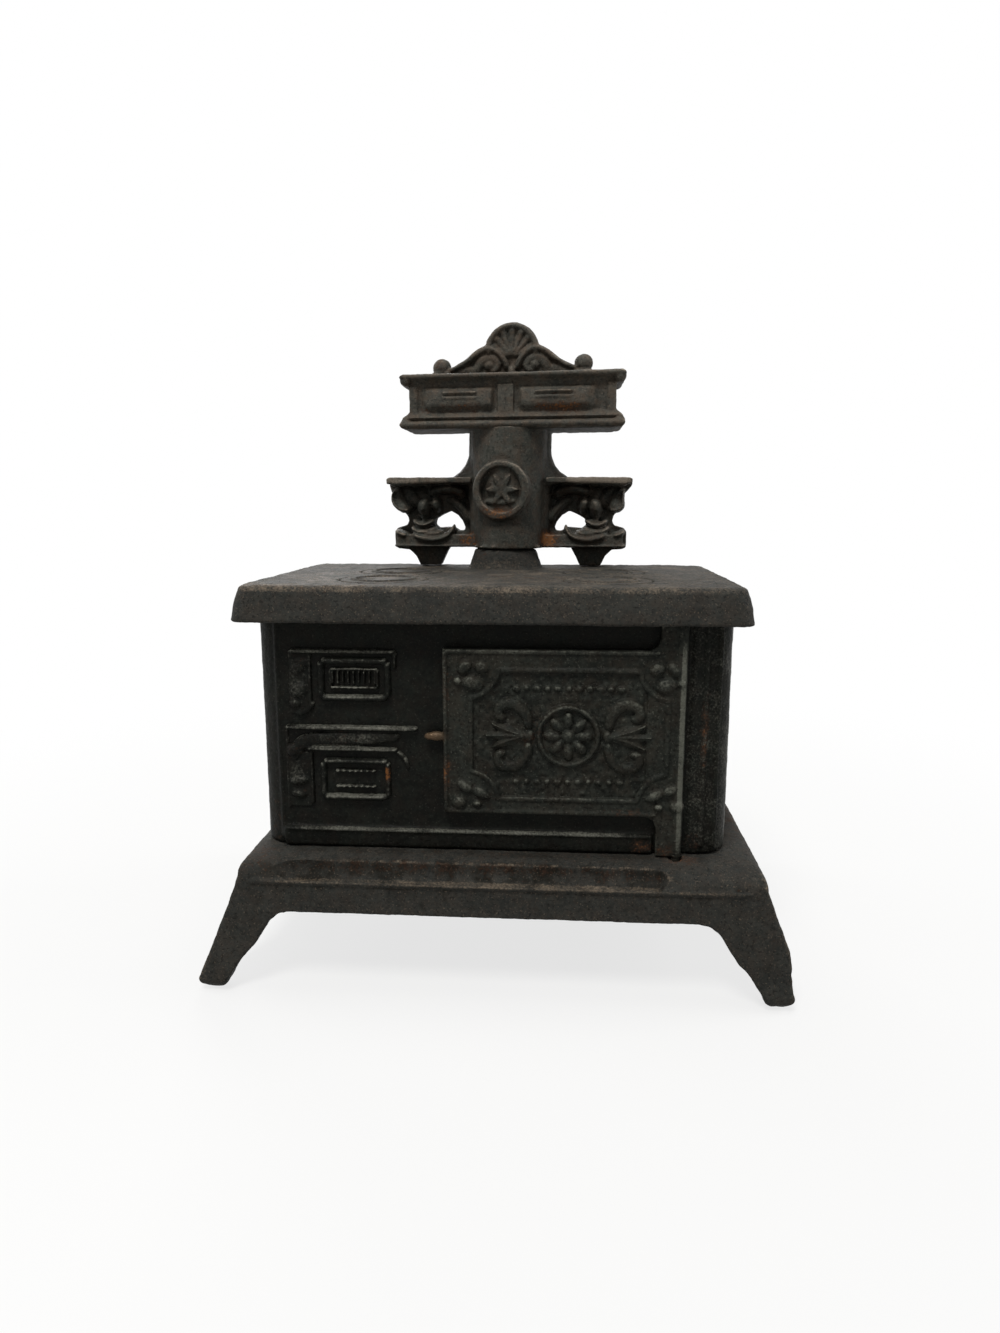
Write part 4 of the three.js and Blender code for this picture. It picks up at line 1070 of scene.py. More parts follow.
@dataclass
class Casting:
    """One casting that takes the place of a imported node."""

    node: str
    body: Body = Body.ROOT
    finish: Finish = Finish.GREY
    name: str = ""
    voxel: float = 0.21
    soft: int = 2
    wobble: float = 0.05
    sand: float = 0.05
    seed: int = 1
    most: int = 190_000
    rust: Spots = ()
    bare: Spots = ()
    # places lightened as rubbing, most of them painted highlights along lips and edges that catch the light
    worn_and_highlit: Spots = ()
    # places darkened as painted shade under overhangs and in grooves, with some dirt
    grime_and_shade: Spots = ()
    # the Y in front of which raised work is painted lighter
    proud: float = -100.0
    edge_scale: float = 0.12
    hollow_scale: float = 0.3

    @property
    def slot(self) -> Slot:
        """The record's finish that the casting's own belongs to."""
        return FINISHES[self.finish].slot

    @property
    def cell(self) -> float:
        return self.voxel * 1.0

    def solids(self) -> list[Solid]:
        """Returns the closed solids that the casting is run together from."""
        return [node_solid(self.node)]

    def worked(self, skin: Skin) -> None:
        """Changes the skin after it is softened and before it gets its grain."""

    def made(self, materials: dict[Finish, bpy.types.Material]) -> bpy.types.Object:
        """Builds, dresses and places the casting.

        Args:
            materials: The material of each finish.

        Returns:
            The piece, riding on its body.
        """
        skin = Skin.over(self.solids(), self.cell)
        skin.soften(self.soft)
        self.worked(skin)
        skin.grain(self.wobble, WOBBLE_SIZE, self.seed)
        skin.grain(self.sand, SAND_SIZE, self.seed + 1)
        skin.grain(self.sand * FINE_SHARE, FINE_SIZE, self.seed + 2)
        skin = skin.thinned(self.most)
        skin.points = np.clip(skin.points, *(np.array(corner) / MM for corner in CAD_BOX))
        name = self.name or self.node + "_casting"
        piece = put(name, skin.mesh(name, MM))
        self.measure(skin, piece.data)
        piece.data.materials.append(materials[self.finish])
        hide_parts(self.node)
        self.slot.value
        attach(piece, self.body.value)
        LOG.info("%s: %d triangles", piece.name, len(skin.corners))
        return piece

    def measure(self, skin: Skin, mesh: bpy.types.Mesh) -> None:
        """Writes what the finish reads at each point: edges, lightened more where they face up as a painted
        highlight, hollows, darkened more at placed spots of painted shade, rust and bare metal.

        Args:
            skin: The skin that is measured.
            mesh: Its mesh, which the values are written on.
        """
        near, wide = (skin.convexity(round((reach / self.cell) ** 2)) for reach in (EDGE_REACH, HOLLOW_REACH))
        # painted highlight: edges that face up keep all their lightening, those that face down keep less
        lit = np.clip(0.25 + 1.3 * skin.around(skin.normals()[:, 2], 2), 0, 1)
        edge = skin.around(near, 2) / self.edge_scale * (UNLIT_EDGE_SHARE + (1 - UNLIT_EDGE_SHARE) * lit)
        # raised work is painted lighter the further it stands out in front of the proud level, a painted
        # highlight with rubbing
        edge += PROUD_HIGHLIGHT * np.clip((self.proud - skin.points[:, 1]) / PROUD_RUN, 0, 1)
        values = {
            "edge": np.clip(np.maximum(edge, self.spread(self.worn_and_highlit, skin)), 0, 1),
            # hollows hold dirt and painted shade, strongest at the placed shaded spots
            "hollow": np.clip(np.maximum(-wide / self.hollow_scale, self.spread(self.grime_and_shade, skin)), 0, 1),
            "rust": self.spread(self.rust, skin),
            "bare": self.spread(self.bare, skin),
        }
        for name, value in values.items():
            mesh.attributes.new(name, "FLOAT", "POINT").data.foreach_set("value", value)

    @staticmethod
    def spread(spots: Spots, skin: Skin) -> np.ndarray:
        """Returns the strongest of some spots at each point of a skin."""
        return np.max([np.zeros(len(skin.points)), *(spot.over(skin.points) for spot in spots)], axis=0)


@dataclass
class OvenDoor(Casting):
    """The oven door: a sunk field in a frame with leaf groups in its corners, on two heels with pintles."""

    node: str = "oven_door"
    body: Body = Body.DOOR
    finish: Finish = Finish.FADED
    voxel: float = 0.16
    wobble: float = 0.04
    seed: int = 11
    most: int = 180_000
    rust: Spots = (
        Spot((-8.6, -27.0, 42.0), (1.5, 1.5, 5.0), 0.85), Spot((33.0, -26.8, 27.0), (2.6, 2.0, 2.6), 0.7),
        Spot((26.0, -27.2, 34.6), (6.0, 1.5, 1.6), 0.5), Spot((8.0, -26.9, 49.5), (4.0, 1.2, 5.5), 0.42),
        Spot((-8.4, -27.0, 58.0), (1.3, 1.5, 6.0), 0.5),
    )
    bare: Spots = (Spot((-11.6, -26.3, 48.9), (4.0, 2.4, 2.6), 0.9),)
    # painted highlights down the hinge barrel and along the door's top edge
    worn_and_highlit: Spots = (
        streak((35.6, -27.4, 47.0), (0.55, 1.4, 22.0), 0.8),
        streak((13.0, -27.4, 65.5), (20.0, 1.0, 0.6), 0.5),
    )
    proud: float = -27.3
    left: float = -8.9
    bottom: float = 34.0
    top: float = 65.8
    hinge_x: float = 35.3
    back: float = -25.35
    field_face: float = -26.55
    frame_face: float = -27.0
    relief_face: float = -27.55
    rim: float = 0.85
    field_left: float = -3.7
    field_right: float = 33.0
    field_bottom: float = 37.0
    field_top: float = 61.9
    hammered: float = 0.22
    hammer_size: float = 0.95
    notch_r: float = 6.4
    notch_out: float = 1.0
    bead: float = 0.5
    heel_width: float = 3.9
    heel_room: Pair = (2.05, 5.65)
    heel_steps: Sequence[Pair] = ((0.0, 2.2), (0.6, 0.7), (2.2, 0.0))
    barrel_r: float = 1.05
    pintle_r: float = 1.0
    play: float = 0.18
    nub_z: float = 48.9
    nub_sink: float = 0.95
    nub_shape: Sequence[Pair] = ((0.3, 0.0), (0.62, 0.5), (0.95, 2.4), (0.8, 3.4))
    hub_r: float = 1.35
    ring_r: float = 5.5
    ring_half: float = 0.55
    petals: int = 8
    petal_run: float = 3.0
    petal_size: Pair = (1.75, 0.95)
    spray_run: float = 7.3
    bud_size: Pair = (0.95, 1.2)
    long_leaf: Pair = (15.6, 2.2)
    side_leaf: Pair = (14.4, 2.1)
    side_leaf_rise: float = 2.4
    side_leaf_sway: float = 0.35
    pearls: int = 11
    pearl_pitch: float = 1.95
    pearl_row: float = 9.0
    pearl_size: Pair = (0.62, 0.6)
    wide_pearl: float = 0.85
    lobe_rise: float = 0.95
    lobe_shift: float = 1.4

    UPPER_LOBES: ClassVar = (
        (4.2, -3.3, 1.6, 1.15, 0.75), (7.4, -3.4, 1.5, 1.2, -0.3), (5.6, -6.4, 2.2, 1.35, -0.25),
        (2.9, -6.0, 0.9, 0.8, 0.0),
    )
    LOWER_LOBES: ClassVar = (
        (4.2, 5.4, 1.9, 1.05, -0.5), (7.2, 4.2, 2.0, 1.05, -0.5), (3.0, 2.2, 1.45, 1.3, 0.0),
        (6.4, 2.0, 0.9, 0.7, 0.0),
    )
    CURL: ClassVar = (
        (7.4, 1.2, 0.8), (7.9, 4.0, 1.05), (10.0, 6.0, 1.15), (12.6, 5.7, 1.1), (13.2, 3.9, 0.95),
        (11.6, 3.3, 0.8),
    )

    def __post_init__(self) -> None:
        """Works out the middle of the field and how far relief stands above field and frame."""
        self.middle = ((self.field_left + self.field_right) / 2, (self.field_bottom + self.field_top) / 2)
        self.field_rise = self.field_face - self.relief_face
        self.frame_rise = self.frame_face - self.relief_face

    def notched_corner(self, side: int, rise: int) -> list[Pair]:
        """Draws the arc that cuts one corner off the field.

        Args:
            side: -1 for the left corners and 1 for the right ones.
            rise: -1 for the lower corners and 1 for the upper ones.

        Returns:
            Points from the upright edge of the field to its level edge.
        """
        x = self.field_right if side > 0 else self.field_left
        z = self.field_top if rise > 0 else self.field_bottom
        reach = math.sqrt(self.notch_r ** 2 - self.notch_out ** 2) - self.notch_out
        centre = (x + side * self.notch_out, z + rise * self.notch_out)
        first = math.atan2(-rise * (reach + self.notch_out), -side * self.notch_out)
        last = math.atan2(-rise * self.notch_out, -side * (reach + self.notch_out))
        turn = (last - first + math.pi) % (2 * math.pi) - math.pi
        angles = [first + turn * share for share in np.linspace(0, 1, 10)]
        return [(centre[0] + self.notch_r * math.cos(a), centre[1] + self.notch_r * math.sin(a))
                for a in angles]

    def frame_band(self) -> list[Solid]:
        """Builds the flat frame between the field and the edge of the plate.

        Returns:
            The closed solids.
        """
        front, back = self.frame_face, self.field_face + ROOT
        parts = []
        for side, edge_x in zip(SIDES, (self.left, self.hinge_x)):
            for rise, edge_z in zip(SIDES, (self.bottom, self.top)):
                arc = self.notched_corner(side, rise)
                outline = [(edge_x, edge_z), (edge_x, arc[0][1]), *arc, (arc[-1][0], edge_z)]
                parts.append(upright_prism(outline, front, back))
        for low, high in ((self.bottom, self.field_bottom), (self.field_top, self.top)):
            parts.append(block((self.left, front, low), (self.hinge_x, back, high)))
        for low, high in ((self.left, self.field_left), (self.field_right, self.hinge_x)):
            parts.append(block((low, front, self.bottom), (high, back, self.top)))
        return parts

    def beads(self) -> list[Solid]:
        """Lays the bead along the field's edge and the rim along the plate's edge.

        Returns:
            The closed solids.
        """
        outline = [*self.notched_corner(-1, -1), *self.notched_corner(1, -1)[::-1],
                   *self.notched_corner(1, 1),
                   *self.notched_corner(-1, 1)[::-1]]
        path = [(x, z, self.bead, self.frame_rise * 0.7) for x, z in outline + outline[:2]]
        half, rise, face = self.rim / 2, self.frame_rise * 0.9, self.frame_face
        left, right = self.left + half, self.hinge_x - self.heel_width
        low, top = self.bottom + half, self.top - half
        return [
            band(path, face, eased_through=False),
            bar((left, low), (left, top), half, rise, face),
            bar((left, top), (right, top), half, rise, face),
            bar((left, low), (right, low), half, rise * 0.6, face),
        ]

    def corner_leaves(self) -> list[Solid]:
        """Models the group of fat lobes in each corner of the frame.

        Returns:
            The closed solids.
        """
        middle, eggs = (self.left + self.hinge_x) / 2 + self.lobe_shift, []
        for edge_z, group in ((self.top, self.UPPER_LOBES), (self.bottom, self.LOWER_LOBES)):
            for across, up, long, wide, turn in group:
                size = (long, self.lobe_rise, wide)
                egg = boss(self.left + across, edge_z + up, self.frame_face, size, turn)
                eggs += [egg, egg.mirrored(middle)]
        return eggs

    def centre_ornament(self) -> list[Solid]:
        """Models the rosette in the middle of the field and the leaf sprays on both sides of it.

        Returns:
            The closed solids.
        """
        (x, z), face, rise = self.middle, self.field_face, self.field_rise
        parts = [boss(x, z, face, (self.hub_r, rise + 0.1, self.hub_r)),
                 hoop(x, z, (self.ring_r, self.ring_r), self.ring_half, rise, face)]
        petal_long, petal_wide = self.petal_size
        for petal in range(self.petals):
            angle = petal * 2 * math.pi / self.petals
            place = (x + self.petal_run * math.cos(angle), z + self.petal_run * math.sin(angle))
            parts.append(boss(*place, face, (petal_long, rise, petal_wide), angle))
        for side in SIDES:
            root = (x + side * self.spray_run, z)
            parts.append(boss(*root, face, (self.bud_size[0], rise, self.bud_size[1])))
            for way in SIDES:
                curl = [(x + side * a, z + way * b, half, rise) for a, b, half in self.CURL]
                parts.append(band(curl, face))
                run, half = self.side_leaf
                tip = (x + side * run, z + way * self.side_leaf_rise)
                parts += leaf(root, tip, half, rise, face, -side * way * self.side_leaf_sway)
            run, half = self.long_leaf
            parts += leaf(root, (x + side * run, z), half, rise, face)
        return parts

    def pearl_rows(self) -> list[Solid]:
        """Models the rows of pearls above and below the ornament.

        Returns:
            The closed solids.
        """
        pearls = []
        tall, rise = self.pearl_size
        for number in range(self.pearls):
            along = self.middle[0] + (number - (self.pearls - 1) / 2) * self.pearl_pitch
            half = tall if number % 2 else self.wide_pearl
            for row in (-self.pearl_row, self.pearl_row):
                pearls.append(boss(along, self.middle[1] + row, self.field_face, (half, rise, tall)))
        return pearls

    def hinge(self) -> list[Solid]:
        """Builds the strip at the hinge edge with its two heels, its barrel and its pintles.

        Returns:
            The closed solids.
        """
        low, high = node_box(self.node)
        heel_low, heel_high = low[2] + self.heel_room[0], high[2] - self.heel_room[1]
        left, y = self.hinge_x - self.heel_width, self.back - self.barrel_r
        outline = [
            (self.hinge_x, heel_low), (self.hinge_x, heel_high), (left, heel_high),
            *((left - across, self.top + up) for across, up in self.heel_steps),
            *((left - across, self.bottom - up) for across, up in self.heel_steps[::-1]), (left, heel_low),
        ]
        pin_r, pin_high = self.pintle_r - self.play, high[2] - 2 * self.play
        return [
            upright_prism(outline, self.frame_face, self.back),
            turned([(self.barrel_r, heel_low), (self.barrel_r, heel_high)], (self.hinge_x, y, 0), "z"),
            turned([(pin_r, low[2]), (pin_r, pin_high)], (self.hinge_x, y, 0), "z"),
        ]

    def nub(self) -> Solid:
        """Turns the pointed latch nub on the left edge.

        Returns:
            The closed solid.
        """
        tip = float(node_box(self.node)[0][0])
        profile = [*((radius, tip + along) for radius, along in self.nub_shape),
                   (self.nub_shape[-1][0], self.left + 0.6)]
        return turned(profile, (0, self.back - self.nub_sink, self.nub_z), "x", 20)

    def solids(self) -> list[Solid]:
        """Models everything that the door is run together from.

        Returns:
            The closed solids.
        """
        plate = block((self.left, self.field_face, self.bottom), (self.hinge_x, self.back, self.top))
        return [plate, *self.frame_band(), *self.beads(), *self.corner_leaves(), *self.centre_ornament(),
                *self.pearl_rows(), *self.hinge(), self.nub()]

    def worked(self, skin: Skin) -> None:
        """Gives the ground of the field its hammered look.

        Args:
            skin: The door's skin.
        """
        x, y, z = skin.points.T
        inside = (x > self.field_left) & (x < self.field_right)
        inside &= (z > self.field_bottom) & (z < self.field_top)
        front = np.clip(1 - np.abs(y - self.field_face) / 0.3, 0, 1) * inside
        rough = lattice_noise(skin.points * (1.0, 0.2, 1.0), self.hammer_size, self.seed + 7)
        skin.points[:, 1] -= self.hammered * front * np.clip(rough + 0.15, -0.4, 1)


@dataclass
class FrontPanel(Casting):
    """The front wall with its rounded corners and plinth ledge, without its relief doors."""

    node: str = "front_panel"
    finish: Finish = Finish.BLACK
    voxel: float = 0.3
    seed: int = 21
    most: int = 180_000
    rust: Spots = (
        Spot((40.1, -25.2, 50.0), (1.1, 1.2, 12.0), 0.7), Spot((29.0, -25.9, 27.6), (3.4, 1.4, 2.4), 0.75),
        Spot((38.0, -25.4, 28.6), (3.0, 1.6, 2.6), 0.5), Spot((-43.0, -24.0, 30.0), (4.0, 3.0, 10.0), 0.35),
    )
    # painted highlight along the plinth ledge, a painted reflection down the rounded right edge, rubbing with
    # a painted highlight on the right strip's ridge, and the right strip painted lighter
    worn_and_highlit: Spots = (
        streak((-4.5, -26.2, 29.75), (36.5, 1.2, 0.4), 0.6),
        streak((45.4, -20.8, 50.0), (0.9, 0.8, 26.0), 0.55),
        Spot((40.1, -25.6, 44.0), (0.7, 1.2, 16.0), 0.4, 4.0),
        streak((41.0, -25.0, 50.0), (4.8, 5.0, 30.0), 0.34),
    )
    face: float = -25.1
    ledge: Rows = ((-40.3, 29.6, 0.42, 1.15), (-5.0, 29.65, 0.42, 1.15), (30.5, 29.55, 0.42, 1.15))
    ridges: Rows = ((38.4, 0.35, 0.25), (40.1, 0.5, 0.45), (42.6, 0.4, 0.25), (-40.9, 0.4, 0.2))
    ridge_room: Pair = (1.2, 1.0)
    flat_x: Pair = (-40.6, -12.9)
    flat_z: Pair = (30.6, 66.0)
    hinge_x: Pair = (33.6, 37.5)
    hinge_depth: float = 0.25

    def solids(self) -> list[Solid]:
        """Runs the wall together with the lip along the plinth's top and the ridges down the right corner.

        Returns:
            The closed solids.
        """
        low, high = node_box(self.node)
        bottom, top = float(low[2]) + self.ridge_room[0], float(high[2]) - self.ridge_room[1]
        ridges = [bar((x, bottom), (x, top), half, rise, self.face) for x, half, rise in self.ridges]
        return [node_solid(self.node), band(self.ledge, self.face), *ridges]

    def worked(self, skin: Skin) -> None:
        """Planes the wall flat where the relief doors are laid on, and a little deeper behind the hinge.

        Args:
            skin: The wall's skin.
        """
        x, y, z = skin.points.T
        under = (x > self.flat_x[0]) & (x < self.flat_x[1]) & (z > self.flat_z[0]) & (z < self.flat_z[1])
        behind = (x > self.hinge_x[0]) & (x < self.hinge_x[1])
        y = np.where(under, np.maximum(y, self.face), y)
        skin.points[:, 1] = np.where(behind, np.maximum(y, self.face + self.hinge_depth), y)


@dataclass(frozen=True)
class Carving:
    """What is carved for one relief door, in millimetres.

    A level bar's row holds its left and right ends, its height, half its width and its rise, and an
    upright bar's its place, its lower and upper ends, half its width and its rise. Runs are paths of bars.
    A lump's row holds its place and its half sizes, with a turn if it has one. A ring's row holds its
    corners, half the width and the rise of its bars and how much fuller the lowest one is.
    """

    slab: tuple[Pair, Pair]
    levels: Rows
    uprights: Rows
    runs: Sequence[Rows]
    lumps: Sequence[tuple]
    rings: Sequence[tuple]


@dataclass
class ReliefDoors(Casting):
    """The two doors that are only cast in relief, with their strap hinges and grilles."""

    node: str = "front_panel"
    finish: Finish = Finish.BLACK
    name: str = "relief_doors"
    voxel: float = 0.15
    seed: int = 25
    edge_scale: float = 0.1
    rust: Spots = (
        Spot((-20.2, -26.4, 41.0), (1.6, 2.0, 2.2), 1.2), Spot((-16.6, -26.0, 40.3), (4.2, 1.5, 1.4), 0.5),
        Spot((-37.6, -26.0, 45.6), (4.0, 1.6, 3.0), 0.4), Spot((-30.0, -26.0, 47.8), (9.0, 1.4, 1.6), 0.35),
        Spot((-36.0, -26.0, 63.4), (3.0, 1.4, 2.4), 0.35),
    )
    # painted highlights along the top edges of the bars and on the hinge lumps
    worn_and_highlit: Spots = (
        streak((-28.2, -26.4, 65.2), (10.5, 1.2, 0.7), 0.55),
        streak((-26.6, -26.4, 50.4), (13.2, 1.2, 0.7), 0.62),
        streak((-26.4, -26.4, 46.2), (9.4, 1.2, 0.6), 0.55),
        streak((-26.2, -26.4, 56.5), (6.4, 1.2, 0.6), 0.6),
        streak((-26.2, -26.4, 36.8), (6.4, 1.2, 0.6), 0.65),
        Spot((-37.0, -26.2, 58.5), (3.2, 2.0, 7.0), 0.42, 4.0),
        Spot((-28.0, -26.2, 47.9), (12.0, 2.0, 1.8), 0.4, 4.0),
        Spot((-37.6, -26.2, 41.0), (2.6, 2.0, 8.0), 0.36, 4.0),
    )
    face: float = -25.1
    plate: float = 0.3
    sag: float = 0.04
    grille: Triple = (-30.6, 9.1, 9)
    grille_z: Pair = (58.6, 61.2)
    grille_bar: Pair = (0.24, 0.95)
    beads: Triple = (-29.6, 1.14, 7)
    bead_size: Triple = (0.42, 0.98, 0.36)
    bead_rows: Pair = (41.4, 38.3)
    bead_bar: Pair = (0.3, 0.72)
    bead_bar_x: Pair = (-30.2, -22.2)

    UPPER: ClassVar = Carving(
        slab=((-38.6, 52.6), (-34.6, 64.9)),
        levels=((-38.3, -18.1, 64.8, 0.55, 1.15), (-38.6, -34.4, 62.6, 0.9, 0.8)),
        uprights=((-34.6, 54.0, 64.4, 0.35, 0.7), (-18.2, 61.5, 64.8, 0.4, 0.8)),
        runs=(((-37.6, 52.6, 0.6, 0.6), (-35.6, 53.2, 0.7, 0.8), (-34.0, 55.0, 0.6, 0.7)),),
        lumps=((-37.0, 61.6, (1.6, 1.15, 1.1)), (-36.7, 57.4, (2.2, 1.3, 1.5), 0.2),
               (-37.6, 54.6, (1.3, 1.0, 1.0))),
        rings=(((-32.4, 55.9), (-19.6, 63.0), 0.68, 1.15, 1.1),
               ((-30.6, 57.9), (-21.5, 61.4), 0.32, 0.85, 1.0)),
    )
    LOWER: ClassVar = Carving(
        slab=((-39.4, 34.0), (-35.0, 45.0)),
        levels=((-39.7, -13.9, 49.95, 0.6, 1.25), (-35.6, -17.9, 45.75, 0.5, 1.2)),
        uprights=((-34.8, 34.6, 45.5, 0.35, 0.75), (-39.5, 33.5, 49.6, 0.35, 0.45)),
        runs=(
            ((-38.4, 43.2, 1.0, 0.75), (-37.2, 46.2, 1.4, 1.0), (-34.2, 47.5, 1.5, 0.95),
             (-26.0, 47.9, 1.45, 0.9),
             (-17.4, 48.3, 1.0, 0.8)),
            ((-18.2, 45.6, 0.45, 0.8), (-16.6, 44.0, 0.45, 0.7), (-15.9, 41.8, 0.35, 0.5)),
        ),
        lumps=((-37.3, 39.4, (2.1, 1.25, 1.0), 0.1), (-37.6, 36.6, (1.7, 1.1, 0.9), -0.2),
               (-38.2, 45.4, (1.5, 1.3, 1.4))),
        rings=(((-32.5, 36.2), (-19.9, 43.3), 0.6, 1.1, 1.2),),
    )

    def ring(self, low: Pair, high: Pair, half: float, rise: float, foot: float) -> list[Solid]:
        """Lays four bars round a rectangle.

        Args:
            low: X and Z of the lower left corner, to the middle of the bars.
            high: X and Z of the upper right corner.
            half: Half the width of a bar.
            rise: How far the bars stand above the wall.
            foot: How much fuller the lowest bar is.

        Returns:
            The closed solids.
        """
        (x0, z0), (x1, z1) = low, high
        return [
            bar((x0, z0), (x1, z0), half * foot, rise * foot, self.face, -0.05),
            bar((x0, z1), (x1, z1), half, rise, self.face, 0.05),
            *(bar((x, z0), (x, z1), half, rise, self.face, thin=0.85) for x in (x0, x1)),
        ]

    def carved(self, carving: Carving) -> list[Solid]:
        """Carves one relief door on the wall.

        Args:
            carving: What is carved.

        Returns:
            The closed solids.
        """
        (x0, z0), (x1, z1) = carving.slab
        parts = [block((x0, self.face - self.plate, z0), (x1, self.face + ROOT, z1))]
        parts += [bar((x0, z), (x1, z), half, rise, self.face, self.sag)
                  for x0, x1, z, half, rise in carving.levels]
        parts += [bar((x, z0), (x, z1), half, rise, self.face) for x, z0, z1, half, rise in carving.uprights]
        parts += [band(run, self.face) for run in carving.runs]
        parts += [boss(x, z, self.face, *lump) for x, z, *lump in carving.lumps]
        for ring in carving.rings:
            parts += self.ring(*ring)
        return parts

    def solids(self) -> list[Solid]:
        """Carves both doors, the upper one with a grille and the lower one with two rows of beads.

        Returns:
            The closed solids.
        """
        parts = [*self.carved(self.UPPER), *self.carved(self.LOWER)]
        left, width, bars = self.grille
        for number in range(bars):
            x = left + width * (number + 0.5) / bars
            low, high = ((x, z) for z in self.grille_z)
            parts.append(bar(low, high, *self.grille_bar, self.face))
        left, pitch, beads = self.beads
        for z in self.bead_rows:
            start, end = ((x, z) for x in self.bead_bar_x)
            parts.append(bar(start, end, *self.bead_bar, self.face, self.sag))
            parts += [boss(left + number * pitch, z, self.face, self.bead_size)
                      for number in range(beads)]
        return parts


